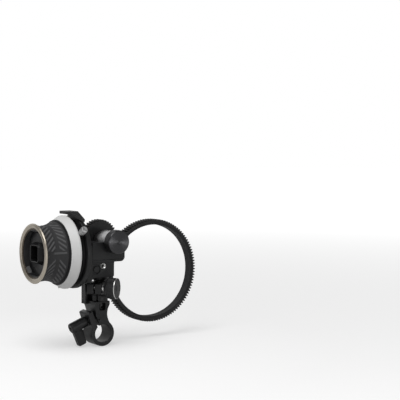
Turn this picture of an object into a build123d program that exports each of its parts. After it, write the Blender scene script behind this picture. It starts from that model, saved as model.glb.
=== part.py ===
from build123d import *
import math
import os

# Follow focus unit for 15 mm rods.  Millimetres.
# Origin: centre of the rod clamp's bore.  +Y runs along the rod towards the front of the lens,
# +X points to the lens side, +Z is up.  The handwheel faces -X.

# ---------------------------------------------------------------- fits and clearances
RUN_FIT = 0.05          # radial clearance of a shaft or ring that turns
FACE_GAP = 0.4          # axial gap between faces that turn past each other
SKIN_GAP = 0.3          # gap between curved faces of different moving pieces

# ---------------------------------------------------------------- rod clamp and riser
ROD_D = 15.0
CLAMP_WIDTH = 16.0      # along the rod
CLAMP_WALL = 3.1
CLAMP_TILT = 20.3       # clamp screw axis below the horizontal, degrees
SCREW_CLEAR = 4.0       # wall between the rod bore and the clamp screw
SLOT_WIDTH = 1.8
SLOT_OFFSET = 1.0       # inner side of the slot from the bore's tilted centre plane
EAR_THICK = 4.7
EAR_OVER = 7.7          # ear height above the screw axis
STUD_D = 5.0
STUD_GRIP = 6.0         # thread length in the fixed side
LOCK_SCREW_D = 2.5
LOCK_SCREW_X = -3.9

RISER_TOP_LEFT = 7.6    # riser's sides from the rod's centre plane
RISER_TOP_RIGHT = 6.3
RISER_WAIST_LEFT = 7.0
RISER_WAIST_RIGHT = 4.0
RISER_FOOT = 6.2
RISER_FOOT_Z = 9.0
RISER_WAIST_Z = 17.0
RISER_TOP_Z = 27.0
RISER_REAR_TOP = 12.2   # far side at the top, from the clamp's middle
RISER_REAR_WAIST = 8.5
WINDOW_WIDTH = 5.8
WINDOW_HEIGHT = 6.2
WINDOW_X = -0.7         # window's middle
WINDOW_SILL = 19.6

# ---------------------------------------------------------------- clamp lever
LEVER_HUB_D = 9.0
LEVER_HUB_LENGTH = 15.6
LEVER_TIP_D = 7.6
PADDLE_REACH = 17.0     # from the screw axis to the paddle's end
PADDLE_WIDTH = 9.0
PADDLE_END_WIDTH = 7.4
PADDLE_THICK = 4.2
PADDLE_INSET = 0.8      # paddle's outer edge from the hub's end
END_SCREW_D = 4.6

# ---------------------------------------------------------------- swivel collar and its lock
POST_D = 7.0
POST_Y = -2.0
POST_DEPTH = 4.5        # how far the post reaches into the riser
POST_KEY = 1.6
BUSH_WALL = 0.9
COLLAR_WALL = 1.5
COLLAR_FLANGE_D = 13.2
COLLAR_FLANGE_H = 5.0
COLLAR_TOP_Z = 43.2
LOCK_DROP = 4.2         # lock screw axis below the collar's top
LOCK_EAR_UNDER = 5.4    # ear below the lock screw axis
EAR_SPLIT = 1.4
EARS_ACROSS = 12.6      # over both ears, along the lock screw
LOCK_OFFSET = 9.6       # lock screw axis from the post axis
LOCK_EAR_OVER = 4.2     # ear beyond the lock screw axis
LOCK_AZIMUTH = 40.0     # lock knob direction, from -Y towards +X, degrees
KNOB_SCREW_D = 4.0
KNOB_D = 17.2
KNOB_NECK_D = 11.5
KNOB_LENGTH = 10.2
KNOB_NECK_LENGTH = 2.4
KNOB_CHAMFER = 0.7
WASHER_D = 5.8
WASHER_THICK = 2.2
NUT_ACROSS = 6.6
NUT_THICK = 2.6
BUSH_FLANGE = 0.9
POST_GAP = 0.4          # under the post's shoulder when the gearbox is right down
HEIGHT_TRAVEL = 8.0     # the post's way up from there

STOP_PLATE_THICK = 2.6
STOP_PLATE_WIDTH = 6.4
STOP_PLATE_FAR = 11.2   # the plate's far edge along Y
STOP_PLATE_LOW = 23.9
STOP_PLATE_HIGH = 41.0
STOP_SCREW_D = 1.5
STOP_SCREW_PITCH = 3.2

# ---------------------------------------------------------------- gearbox
AXIS_Z = 69.6           # handwheel axis above the rod
AXIS_Y = -3.9
DRIVE_X = 4.0
GEAR_OFFSET = 8.0       # drive shaft axis above the handwheel axis
BOX_LEFT = -15.3
BOX_RIGHT = 15.4
BOX_NEAR = -16.5        # face towards the operator
BOX_FAR = 3.0           # face towards the lens gear
BOX_OVER = 7.4          # housing above the handwheel axis
BOX_UNDER = 7.0         # housing below the handwheel axis
BOX_WALL = 1.6
BOX_SIDE_WALL = 3.4
BOX_RIGHT_WALL = 5.6
BOX_CORNER = 3.8
BASE_PLATE = 2.0
BASE_SCREW_D = 2.0
BASE_SCREW_DEPTH = 2.6  # thread in the housing
BASE_HEAD = 1.2         # recess for the head in the base plate

PLATE_THICK = 4.7       # left side plate
PLATE_BEYOND = 2.0      # plate beyond the housing's far face
PLATE_OVER = 7.0
PLATE_UNDER = 26.0
PLATE_CORNER = 4.0
PLATE_SCREW_D = 2.5
PLATE_SCREW_DEPTH = 3.2 # thread in the housing and the block
HEAD_RATIO = 1.8        # screw head over screw diameter
HEAD_DEPTH = 2.2

BLOCK_LEFT = -15.3
BLOCK_RIGHT = 8.0
BLOCK_SETBACK = 1.0     # block's near face behind the housing's
BLOCK_FLOOR = 48.0
POST_SEAT = 6.0         # how far the post reaches into the block
RECESS_DEPTH = 3.6
RECESS_LEFT = -1.9
RECESS_SILL = 54.4
RECESS_TOE = 4.7
BOSS_D = 6.4
BOSS_X = -11.0
BOSS_Z = 54.9
PLUG_D = 4.6
PLUG_X = -4.5
PLUG_Z = 57.4
SHOULDER_D = 10.6

SHAFT_D = 5.0
BUSH_D = 8.0
SLEEVE_D = 13.0
SLEEVE_WALL = 1.6
SLEEVE_PROUD = 0.4      # sleeve beyond the housing at both ends
BARREL_D = 17.0         # half barrel of the sleeve above the housing
BARREL_END = -3.4
BUSH_LENGTH = 2.8
DRIVE_BUSH_LENGTH = 3.0

HELICAL_TEETH = 12
HELICAL_WIDTH = 6.0

# ---------------------------------------------------------------- drive gear and lens ring
MODULE = 0.8
DRIVE_TEETH = 40
RING_TEETH = 110
GEAR_WIDTH = 7.0
RING_WIDTH = 9.0
GEAR_START = 4.4        # near face of the drive gear
BACKLASH = 0.12
PRESSURE_ANGLE = 20.0
RING_BELOW = 29.3       # line of centres below the horizontal, degrees
RING_RADIAL = 4.8       # ring thickness from the bore to the tooth tips
LINER_THICK = 1.2
GEAR_WEB = 4.0
GEAR_RIM = 3.2
GEAR_HUB_D = 11.0
LOCK_KNOB_D = 19.6
LOCK_KNOB_LENGTH = 8.8
DRAWBAR_D = 2.6
CAP_D = 9.0
CAP_THICK = 1.6
CLIP_THICK = 0.6
CLIP_D = 7.0

# ---------------------------------------------------------------- handwheel and stops
RIM_X = -34.5           # rear face of the marking ring
MARK_D = 60.0
MARK_LENGTH = 7.5
MARK_LAND = 1.6
MARK_WALL = 2.6         # marking ring's thickness at its front
MARK_LIP = 3.4          # and at its rear rim
GRIP_REAR_D = 51.8
MARK_FRONT_D = GRIP_REAR_D + 1.4
GRIP_WAIST_D = GRIP_REAR_D - 7.2
GRIP_FRONT_D = GRIP_REAR_D - 5.0
GRIP_LENGTH = 19.7
WAIST_BACK = 9.4        # grip waist behind the bezel
RUBBER_THICK = 2.2
BEZEL_D = GRIP_FRONT_D + 1.8
BEZEL_BORE = BEZEL_D - 10.2
BEZEL_LENGTH = 1.9
DISH_FLOOR_D = 35.0
DISH_DEPTH = 6.0
SOCKET_ACROSS = 12.2    # square crank socket
SOCKET_DEPTH = 6.0
SOCKET_BOSS_D = 20.4
SOCKET_STEP = 2.0       # boss narrows by this where it enters the hub
SOCKET_PROUD = 4.1      # boss above the dish floor
HUB_BORE_D = 14.0
HUB_WEB = 5.0
SOCKET_SEAT = 2.0       # socket's bottom above the web's rear face
WHEEL_NUT_D = 9.0
WHEEL_NUT_THICK = 3.0
DAMPER_D = 18.0
DAMPER_THICK = 0.9

STOP_GAP = 0.3          # axial gaps beside the stop rings
STOP_BELOW = 3.5        # stop ring's edge below the marking ring's
STOP_D = MARK_D - 2 * STOP_BELOW
STOP_BORE = 20.0
STOP_THICK = 2.2
STOP_HUB_D = 40.0       # boss between the hub's flange and the side plate
FLANGE_D = MARK_D
FLANGE_THICK = 4.0
FLANGE_CHAMFER = 0.5
HUB_SCREW_D = 2.5
HUB_SCREW_CIRCLE = 13.2
HUB_HEAD_D = 4.7
HUB_HEAD_DEPTH = 2.4
STOP_PIN_D = 2.0
STOP_PIN_CIRCLE = MARK_D - 3.2
STOP_BOSS_WIDTH = 4.6   # the thumbscrew's boss, which the pin meets
STOP_BOSS_LENGTH = 3.2  # along the wheel's axis, over the other stop ring's edge
STOP_BOSS_D = MARK_D - 0.4
SCREW_A_ANGLE = 56.0    # thumbscrew A, from straight up towards -Y, degrees
SCREW_B_ANGLE = -54.0
THUMB_D = 5.6
THUMB_GAP = 0.6         # thumbscrew's head above its boss
THUMB_LENGTH = 7.0
THUMB_STEM_D = 2.0
THUMB_FLOOR = 0.5       # metal left under the thumbscrew's hole

POINTER_GAP = 1.0       # pointer shell above the marking ring
POINTER_THICK = 2.4
POINTER_OVER = 0.9      # nose beyond the marking ring's rear face, over the white band
POINTER_BEND = 7.7      # flat top as far as here, towards the operator
POINTER_SLOPE = 27.0    # and then sloping down, degrees
POINTER_NEAR = 19.3
POINTER_TIP = 7.4       # nose, where its slanted edge starts
POINTER_FAR = 7.0
POINTER_INSET = 0.8     # shell's right edge from the flange's rear face
LEG_WIDTH = 14.0        # foot on the flange, along Y
LEG_SHIFT = -2.0        # foot's middle from the handwheel axis
POINTER_SCREW_D = 1.6
POINTER_HEAD_D = 2.5
POINTER_HEAD = 1.0
POINTER_SCREW_PITCH = 8.0
POINTER_BORE_DEPTH = 1.9
POINTER_SCREW_GRIP = 4.3  # thread in the flange


# ---------------------------------------------------------------- places worked out from the sizes
ROD_R = ROD_D / 2
CLAMP_R = ROD_R + CLAMP_WALL
SCREW_UP = ROD_R + SCREW_CLEAR + STUD_D / 2
EAR_FACE = SLOT_OFFSET + SLOT_WIDTH + EAR_THICK
DRIVE_Z = AXIS_Z + GEAR_OFFSET
BOX_TOP = AXIS_Z + BOX_OVER
BOX_BOTTOM = AXIS_Z - BOX_UNDER
BASE_BOTTOM = BOX_BOTTOM - BASE_PLATE
PLATE_LEFT = BOX_LEFT - PLATE_THICK
SLEEVE_NEAR = BOX_NEAR - SLEEVE_PROUD
SLEEVE_FAR = BOX_FAR + SLEEVE_PROUD
GEAR_DISTANCE = MODULE * (DRIVE_TEETH + RING_TEETH) / 2
RING_X = DRIVE_X + GEAR_DISTANCE * math.cos(math.radians(RING_BELOW))
RING_Z = DRIVE_Z - GEAR_DISTANCE * math.sin(math.radians(RING_BELOW))
GRIP_REAR_X = RIM_X - MARK_LENGTH
GRIP_FRONT_X = GRIP_REAR_X - GRIP_LENGTH
BEZEL_FACE_X = GRIP_FRONT_X - BEZEL_LENGTH
DISH_FLOOR_X = BEZEL_FACE_X + DISH_DEPTH
STOP_A_X = RIM_X + STOP_GAP
STOP_B_X = STOP_A_X + STOP_THICK + STOP_GAP
BOSS_A_X = STOP_A_X
BOSS_B_X = STOP_B_X + STOP_THICK - STOP_BOSS_LENGTH
HUB_FLANGE_X = STOP_B_X + STOP_THICK + STOP_GAP
POINTER_RIGHT = HUB_FLANGE_X + FLANGE_THICK - POINTER_INSET
THUMB_START = STOP_BOSS_D / 2 + THUMB_GAP
THUMB_HOLE = STOP_D / 2 + SKIN_GAP + THUMB_FLOOR
MARK_SEAT_D = MARK_FRONT_D - 2 * MARK_WALL
BUSH_OUTER_D = POST_D + 2 * BUSH_WALL
COLLAR_BASE_Z = RISER_TOP_Z
STOP_PLATE_X = -RISER_TOP_LEFT - STOP_PLATE_THICK
SHOULDER_Z = COLLAR_TOP_Z + BUSH_FLANGE + POST_GAP
LOCK_Z = COLLAR_TOP_Z - LOCK_DROP
CONTACT_ANGLE = math.degrees(math.asin((STOP_PIN_D + STOP_BOSS_WIDTH) / STOP_PIN_CIRCLE))
PIN_ANGLE = (SCREW_A_ANGLE + SCREW_B_ANGLE + 360) / 2
STOP_SWING = PIN_ANGLE - SCREW_A_ANGLE - CONTACT_ANGLE
NUT_X = DISH_FLOOR_X + HUB_WEB - SOCKET_SEAT + 0.1


# ---------------------------------------------------------------- helpers
def on_wheel(shape):
    """Move a piece made about the X axis onto the handwheel axis."""
    return Pos(0, AXIS_Y, AXIS_Z) * shape


def on_drive(shape):
    """Move a piece made about the Y axis onto the drive shaft axis."""
    return Pos(DRIVE_X, 0, DRIVE_Z) * shape


def on_post(shape):
    """Move a piece made about the Z axis onto the post axis."""
    return Pos(0, POST_Y, 0) * shape


def in_clamp(shape):
    """Tilt a piece from the clamp's own frame, X outwards along the screw, Z across it."""
    return Rot(0, -CLAMP_TILT, 0) * Rot(0, 0, 180) * shape


def rod_x(x0, x1, d, bore=0.0):
    """A round bar or tube along X, from x0 to x1, about the X axis."""
    bar = Pos(x0, 0, 0) * (Rot(0, 90, 0) * Cylinder(d / 2, x1 - x0, align=(Align.CENTER,) * 2 + (Align.MIN,)))
    if bore:
        bar -= rod_x(x0 - 1, x1 + 1, bore)
    return bar


def rod_y(y0, y1, d, bore=0.0):
    """A round bar or tube along Y, from y0 to y1, about the Y axis."""
    bar = Pos(0, y0, 0) * (Rot(-90, 0, 0) * Cylinder(d / 2, y1 - y0, align=(Align.CENTER,) * 2 + (Align.MIN,)))
    if bore:
        bar -= rod_y(y0 - 1, y1 + 1, bore)
    return bar


def rod_z(z0, z1, d, bore=0.0):
    """A round bar or tube along Z, from z0 to z1, about the Z axis."""
    bar = Pos(0, 0, z0) * Cylinder(d / 2, z1 - z0, align=(Align.CENTER,) * 2 + (Align.MIN,))
    if bore:
        bar -= rod_z(z0 - 1, z1 + 1, bore)
    return bar


def block(x0, x1, y0, y1, z0, z1):
    """A box given by its six faces."""
    return Pos(x0, y0, z0) * Box(x1 - x0, y1 - y0, z1 - z0, align=(Align.MIN,) * 3)


def turned_x(points):
    """A piece turned about the X axis from (x, radius) points."""
    return revolve(make_face(Polyline(*points, close=True)), Axis.X)


def gear_outline(teeth, module, backlash):
    """Involute gear outline; tooth 0 is centred on the first axis."""
    pitch = module * teeth / 2
    base = pitch * math.cos(math.radians(PRESSURE_ANGLE))
    tip = pitch + module
    root = pitch - 1.25 * module
    half = math.pi / (2 * teeth) - backlash / (2 * pitch) / 2
    inv_pitch = math.tan(math.radians(PRESSURE_ANGLE)) - math.radians(PRESSURE_ANGLE)
    start = max(base, root + 0.15 * module)
    steps = 4
    flank = []
    for i in range(steps):
        r = start + (tip - start) * i / (steps - 1)
        a = math.acos(min(1.0, base / r))
        flank.append((r, half + inv_pitch - (math.tan(a) - a)))
    points = []
    for k in range(teeth):
        middle = 2 * math.pi * k / teeth
        side = [(root, flank[0][1])] + flank
        for r, a in side:
            points.append((r * math.cos(middle - a), r * math.sin(middle - a)))
        for r, a in reversed(side):
            points.append((r * math.cos(middle + a), r * math.sin(middle + a)))
    return make_face(Polyline(*points, close=True))


def gear_y(face, near, width):
    """A gear face extruded along Y from its near side, still about the Y axis."""
    return extrude(Plane((0, near + width, 0), x_dir=(1, 0, 0), z_dir=(0, -1, 0)) * face, width)


def helical_gear():
    """Right-hand 45 degree gear about the Z axis, one tooth centred on +X at its middle."""
    pitch = GEAR_OFFSET / 2
    tooth = 2 * math.pi * pitch / HELICAL_TEETH
    tip, root = pitch + 0.2 * tooth, pitch - 0.24 * tooth
    points = []
    for k in range(HELICAL_TEETH):
        middle = 2 * math.pi * k / HELICAL_TEETH
        for r, share in ((root, -0.27), (tip, -0.13), (tip, 0.13), (root, 0.27)):
            a = middle + share * tooth / pitch
            points.append((r * math.cos(a), r * math.sin(a)))
    twist = math.degrees(HELICAL_WIDTH / pitch)
    section = Rot(0, 0, -twist / 2) * make_face(Polyline(*points, close=True))
    gear = Solid.extrude_linear_with_rotation(section.face(), (0, 0, 0), (0, 0, HELICAL_WIDTH), twist)
    gear = Pos(0, 0, -HELICAL_WIDTH / 2) * gear
    return gear - rod_z(-HELICAL_WIDTH, HELICAL_WIDTH, SHAFT_D)


def knurled(d, length, ribs, depth):
    """A ribbed grip about the Z axis, from z = 0 up."""
    body = rod_z(0, length, d)
    cutter = rod_z(-1, length + 1, 2 * depth)
    for k in range(ribs):
        body -= Rot(0, 0, 360 * k / ribs) * Pos(d / 2, 0, 0) * cutter
    return body


# ---------------------------------------------------------------- rod clamp and riser
def rod_clamp_body():
    half = CLAMP_WIDTH / 2
    ring = rod_y(-half, half, 2 * CLAMP_R)
    left, right, foot = -RISER_TOP_LEFT, RISER_TOP_RIGHT, RISER_FOOT
    side = Spline((foot, RISER_FOOT_Z), (RISER_WAIST_RIGHT, RISER_WAIST_Z), (right, RISER_TOP_Z - 3))
    other = Spline((left, RISER_TOP_Z - 3), (-RISER_WAIST_LEFT, RISER_WAIST_Z), (-foot, RISER_FOOT_Z))
    front = make_face(side + Polyline((right, RISER_TOP_Z - 3), (right, RISER_TOP_Z), (left, RISER_TOP_Z),
                                      (left, RISER_TOP_Z - 3)) + other
                      + Polyline((-foot, RISER_FOOT_Z), (-foot, 0), (foot, 0), (foot, RISER_FOOT_Z)))
    riser = extrude(Plane.XZ * front, 2 * CLAMP_WIDTH, both=True)
    rear = Spline((half, RISER_FOOT_Z), (RISER_REAR_WAIST, RISER_WAIST_Z), (RISER_REAR_TOP, RISER_TOP_Z - 3))
    flank = make_face(rear + Polyline((RISER_REAR_TOP, RISER_TOP_Z - 3), (RISER_REAR_TOP, RISER_TOP_Z),
                                      (-half, RISER_TOP_Z), (-half, 0), (half, 0), (half, RISER_FOOT_Z)))
    riser &= extrude(Plane.YZ * flank, 2 * RISER_TOP_LEFT, both=True)
    ear_top = SCREW_UP + EAR_OVER
    ear = block(SLOT_OFFSET, EAR_FACE, -half, half, 0, ear_top)
    ear = fillet(ear.edges().filter_by(Axis.Y).group_by(Axis.Z)[-1], 1.5)
    body = ring + riser + in_clamp(ear)
    body -= rod_y(-CLAMP_WIDTH, CLAMP_WIDTH, ROD_D)
    slot = block(SLOT_OFFSET, SLOT_OFFSET + SLOT_WIDTH, -CLAMP_WIDTH, CLAMP_WIDTH, 0, 2 * ear_top)
    body -= in_clamp(slot)
    hole = rod_x(-STUD_GRIP, EAR_FACE + 1, STUD_D + 2 * RUN_FIT)
    body -= in_clamp(Pos(0, 0, SCREW_UP) * hole)
    body -= on_post(rod_z(RISER_TOP_Z - POST_DEPTH - 1.5, RISER_TOP_Z + 1, POST_D + 2 * SKIN_GAP))
    window = Pos(WINDOW_X, -half, WINDOW_SILL + WINDOW_HEIGHT / 2) * Box(WINDOW_WIDTH, half, WINDOW_HEIGHT)
    body -= fillet(window.edges().filter_by(Axis.Y), 1.4)
    body -= lock_screw_place(rod_y(-1, half - STUD_D / 2, LOCK_SCREW_D))
    body -= stop_plate_holes()
    return body


def stud_height(x):
    """Height of the clamp screw axis at a place along X."""
    tilt = math.radians(CLAMP_TILT)
    return SCREW_UP / math.cos(tilt) + x * math.tan(tilt)


def lock_screw_place(shape):
    drop = 0.3 * STUD_D
    return Pos(LOCK_SCREW_X, -CLAMP_WIDTH / 2, stud_height(LOCK_SCREW_X) - drop) * shape


def thread_lock_screw():
    length = CLAMP_WIDTH / 2 - STUD_D / 2 - 0.3
    screw = rod_y(0.2, length, LOCK_SCREW_D - 0.02)
    socket = Rot(90, 0, 0) * extrude(RegularPolygon(LOCK_SCREW_D * 0.28, 6), 1.6, both=True)
    return lock_screw_place(screw - socket)


def clamp_stud():
    x1 = EAR_FACE + LEVER_HUB_LENGTH - 4.0
    stud = rod_x(-STUD_GRIP + 0.4, x1, STUD_D)
    return in_clamp(Pos(0, 0, SCREW_UP) * stud)


def clamp_lever():
    x0 = EAR_FACE + FACE_GAP
    x1 = EAR_FACE + LEVER_HUB_LENGTH
    hub = turned_x([(x0, 0), (x0, LEVER_HUB_D / 2 - 0.6), (x0 + 0.6, LEVER_HUB_D / 2),
                    (x1 - 0.8, LEVER_HUB_D / 2 - 0.2), (x1, LEVER_TIP_D / 2), (x1, 0)])
    outer = x1 - PADDLE_INSET
    inner = outer - PADDLE_WIDTH
    paddle = make_face(Polyline((outer, 0), (outer - 0.9, -PADDLE_REACH),
                                (outer - 0.9 - PADDLE_END_WIDTH, -PADDLE_REACH), (inner, 0), close=True))
    paddle = extrude(Plane.XZ * paddle, PADDLE_THICK / 2, both=True)
    paddle = fillet(paddle.edges().filter_by(Axis.Y).group_by(Axis.Z)[0], 1.6)
    lever = hub + paddle
    lever -= rod_x(x0 - 1, EAR_FACE + LEVER_HUB_LENGTH - 4.0, STUD_D)
    lever -= rod_x(x1 - 1.4, x1 + 1, END_SCREW_D)
    return in_clamp(Pos(0, 0, SCREW_UP) * lever)


def lever_end_screw():
    x1 = EAR_FACE + LEVER_HUB_LENGTH
    screw = rod_x(x1 - 1.4, x1 - 0.2, END_SCREW_D)
    socket = Pos(x1 - 1.0, 0, 0) * (Rot(0, 90, 0) * extrude(RegularPolygon(1.2, 6), 2))
    return in_clamp(Pos(0, 0, SCREW_UP) * (screw - socket))


# ---------------------------------------------------------------- swivel collar and lock knob
def on_lock(shape):
    """Place a piece made along local +X onto the lock screw axis; X = 0 is the split."""
    azimuth = math.radians(LOCK_AZIMUTH)
    away = (-math.cos(azimuth), -math.sin(azimuth))
    centre = (LOCK_OFFSET * away[0], POST_Y + LOCK_OFFSET * away[1], LOCK_Z)
    return Pos(*centre) * (Rot(0, 0, LOCK_AZIMUTH - 90) * shape)


def swivel_collar():
    collar = on_post(rod_z(COLLAR_BASE_Z, COLLAR_TOP_Z, BUSH_OUTER_D + 2 * COLLAR_WALL))
    collar += on_post(rod_z(COLLAR_BASE_Z, COLLAR_BASE_Z + COLLAR_FLANGE_H, COLLAR_FLANGE_D))
    half = EARS_ACROSS / 2
    ears = block(-half, half, -LOCK_EAR_OVER, LOCK_OFFSET, -LOCK_EAR_UNDER, LOCK_DROP)
    ears = fillet(ears.edges().filter_by(Axis.X).group_by(Axis.Y)[0], 1.5)
    collar += on_lock(ears)
    collar -= on_post(rod_z(COLLAR_BASE_Z - 1, COLLAR_TOP_Z + 1, BUSH_OUTER_D + 2 * RUN_FIT))
    split = block(-EAR_SPLIT / 2, EAR_SPLIT / 2, -2 * LOCK_OFFSET, LOCK_OFFSET, -3 * LOCK_DROP, 3 * LOCK_DROP)
    collar -= on_lock(split)
    collar -= on_lock(rod_x(-2 * half, 2 * half, KNOB_SCREW_D + 2 * RUN_FIT))
    collar -= on_lock(nut_solid(0.02))
    return collar


def nut_solid(grow=0.0):
    far = -EARS_ACROSS / 2
    side = NUT_ACROSS / 2 + grow
    return block(far - grow, far + NUT_THICK + grow, -side, side, -side, side)


def collar_nut():
    return on_lock(nut_solid() - rod_x(-EARS_ACROSS, EARS_ACROSS, KNOB_SCREW_D + 2 * RUN_FIT))


def swivel_washer():
    x0 = EARS_ACROSS / 2
    return on_lock(rod_x(x0 + 0.1, x0 + WASHER_THICK, WASHER_D, KNOB_SCREW_D))


def swivel_knob():
    x0 = EARS_ACROSS / 2 + WASHER_THICK
    x1 = x0 + KNOB_LENGTH
    r = KNOB_D / 2
    knob = turned_x([(x0, 0), (x0, KNOB_NECK_D / 2), (x0 + KNOB_NECK_LENGTH, r - 0.4), (x1 - KNOB_CHAMFER, r),
                     (x1, r - KNOB_CHAMFER), (x1, 0)])
    knob -= rod_x(x0 - 1, x1 - 3.0, KNOB_SCREW_D)
    return on_lock(knob)


def swivel_knob_screw():
    x1 = EARS_ACROSS / 2 + WASHER_THICK + KNOB_LENGTH - 3.0
    return on_lock(rod_x(-EARS_ACROSS / 2 + 0.2, x1, KNOB_SCREW_D))


def post_bush():
    flange = rod_z(COLLAR_TOP_Z + 0.1, COLLAR_TOP_Z + BUSH_FLANGE, BUSH_OUTER_D + 1.6)
    bush = rod_z(COLLAR_BASE_Z + 0.3, COLLAR_TOP_Z + BUSH_FLANGE, BUSH_OUTER_D)
    bush = on_post(bush + flange - rod_z(0, 2 * COLLAR_TOP_Z, POST_D + 2 * RUN_FIT))
    half = POST_KEY / 2 + RUN_FIT
    return bush - on_post(block(-half, half, 0, POST_D / 2 + 0.55, 0, 2 * COLLAR_TOP_Z))


def swivel_post():
    foot = RISER_TOP_Z - POST_DEPTH
    post = on_post(rod_z(foot, BLOCK_FLOOR + POST_SEAT, POST_D))
    post += on_post(rod_z(SHOULDER_Z, BLOCK_FLOOR, SHOULDER_D))
    key = block(-POST_KEY / 2, POST_KEY / 2, 0, POST_D / 2 + 0.45, COLLAR_BASE_Z + 1.0, SHOULDER_Z + 1.0)
    post += on_post(key)
    post -= on_post(rod_z(foot - 1, foot + 6.0, 2.5))
    return post


def post_foot_screw():
    foot = RISER_TOP_Z - POST_DEPTH
    screw = rod_z(foot - 1.2, foot, 4.6) + rod_z(foot - 0.2, foot + 5.0, 2.5)
    socket = Pos(0, 0, foot - 2) * extrude(RegularPolygon(0.9, 6), 1.6)
    return on_post(screw - socket)


def stop_screw_places():
    y = STOP_PLATE_FAR - STOP_PLATE_WIDTH / 2
    z = (STOP_PLATE_LOW + RISER_TOP_Z) / 2
    return [(y + k * STOP_SCREW_PITCH / 2, z) for k in (-1, 1)]


def stop_plate_holes():
    x1 = 2.5 - RISER_TOP_LEFT
    return [Pos(0, y, z) * rod_x(2 * STOP_PLATE_X, x1, STOP_SCREW_D) for y, z in stop_screw_places()]


def swivel_stop_plate():
    x1 = -RISER_TOP_LEFT
    y0, y1 = STOP_PLATE_FAR - STOP_PLATE_WIDTH, STOP_PLATE_FAR
    plate = block(STOP_PLATE_X, x1, y0, y1, STOP_PLATE_LOW, STOP_PLATE_HIGH)
    plate = fillet(plate.edges().filter_by(Axis.X).group_by(Axis.Z)[-1], 1.2)
    for y, z in stop_screw_places():
        plate -= Pos(0, y, z) * rod_x(2 * STOP_PLATE_X, x1 + 1, STOP_SCREW_D)
        plate -= Pos(0, y, z) * rod_x(2 * STOP_PLATE_X, STOP_PLATE_X + 1.3, HEAD_RATIO * STOP_SCREW_D)
    return plate


def stop_plate_screws():
    screws = []
    for y, z in stop_screw_places():
        screw = rod_x(STOP_PLATE_X + 0.3, 2.3 - RISER_TOP_LEFT, STOP_SCREW_D)
        screw += rod_x(STOP_PLATE_X + 0.3, STOP_PLATE_X + 1.3, HEAD_RATIO * STOP_SCREW_D - 0.04)
        screws.append(Pos(0, y, z) * screw)
    return Compound(children=screws)


# ---------------------------------------------------------------- gearbox
def box_slice(z0, z1):
    """The gearbox outline, rounded on the right, between two heights."""
    box = block(BOX_LEFT, BOX_RIGHT, BOX_NEAR, BOX_FAR, BASE_BOTTOM, BOX_TOP)
    box = fillet(box.edges().filter_by(Axis.Y).group_by(Axis.X)[-1], BOX_CORNER)
    return box & block(BOX_LEFT, BOX_RIGHT, BOX_NEAR, BOX_FAR, z0, z1)


def gearbox_housing():
    box = box_slice(BOX_BOTTOM, BOX_TOP)
    inside = block(BOX_LEFT + BOX_SIDE_WALL, BOX_RIGHT - BOX_RIGHT_WALL, BOX_NEAR + BOX_WALL, BOX_FAR - BOX_WALL,
                   BOX_BOTTOM - 1, BOX_TOP - BOX_WALL)
    box -= inside
    saddle = rod_y(BOX_NEAR - 1, BOX_FAR + 1, SLEEVE_D)
    cheek = rod_y(BOX_NEAR, BOX_FAR, SLEEVE_D + 2 * BOX_WALL)
    cheek &= block(-SLEEVE_D, SLEEVE_D, BOX_NEAR, BOX_FAR, -SLEEVE_D, BOX_OVER - GEAR_OFFSET)
    box += on_drive(cheek)
    box -= inside
    box -= on_drive(saddle)
    box -= on_wheel(rod_x(BOX_LEFT - 1, BOX_LEFT + BOX_SIDE_WALL + 1, BUSH_D))
    box -= on_wheel(rod_x(BOX_RIGHT - BOX_RIGHT_WALL - 1, BOX_RIGHT - BOX_RIGHT_WALL + BUSH_LENGTH, BUSH_D))
    for x, y in base_screw_places():
        box -= Pos(x, y, 0) * rod_z(BOX_BOTTOM - 1, BOX_BOTTOM + BASE_SCREW_DEPTH + 0.3, BASE_SCREW_D)
    for y, z in wall_screw_places():
        box -= Pos(BOX_LEFT, y, z) * rod_x(-1, PLATE_SCREW_DEPTH + 0.1, PLATE_SCREW_D)
    return box


def base_screw_places():
    inset = 4.5
    return [(BOX_RIGHT - BOX_CORNER - 0.4, y) for y in (BOX_NEAR + inset, BOX_FAR - inset)]


def gearbox_base():
    near = BOX_NEAR + BLOCK_SETBACK
    base = box_slice(BASE_BOTTOM, BOX_BOTTOM) + block(BLOCK_LEFT, BLOCK_RIGHT, near, BOX_FAR, BLOCK_FLOOR, BASE_BOTTOM)
    side = BLOCK_RIGHT + 1
    recess = make_face(Polyline((RECESS_LEFT, BASE_BOTTOM), (RECESS_LEFT, RECESS_SILL), (RECESS_TOE, BLOCK_FLOOR),
                                (RECESS_TOE, BLOCK_FLOOR - 1), (side, BLOCK_FLOOR - 1), (side, BASE_BOTTOM),
                                close=True))
    base -= extrude(Plane((0, near + RECESS_DEPTH, 0), x_dir=(1, 0, 0), z_dir=(0, -1, 0)) * recess, 2 * RECESS_DEPTH)
    base -= on_post(rod_z(BLOCK_FLOOR - 1, BLOCK_FLOOR + POST_SEAT, POST_D))
    base -= boss_place(rod_y(-1, 1.2, BOSS_D + 1.2, BOSS_D - 1.6))
    base -= plug_place(rod_y(-1, 1.6, PLUG_D))
    for x, y in base_screw_places():
        base -= Pos(x, y, 0) * rod_z(BASE_BOTTOM - 1, BOX_BOTTOM + 1, BASE_SCREW_D)
        base -= Pos(x, y, 0) * rod_z(BASE_BOTTOM - 1, BASE_BOTTOM + BASE_HEAD, HEAD_RATIO * BASE_SCREW_D)
    for y, z in block_screw_places():
        base -= Pos(BOX_LEFT, y, z) * rod_x(-1, PLATE_SCREW_DEPTH + 0.4, PLATE_SCREW_D)
    return base


def boss_place(shape):
    return Pos(BOSS_X, BOX_NEAR + BLOCK_SETBACK, BOSS_Z) * shape


def plug_place(shape):
    return Pos(PLUG_X, BOX_NEAR + BLOCK_SETBACK, PLUG_Z) * shape


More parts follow.
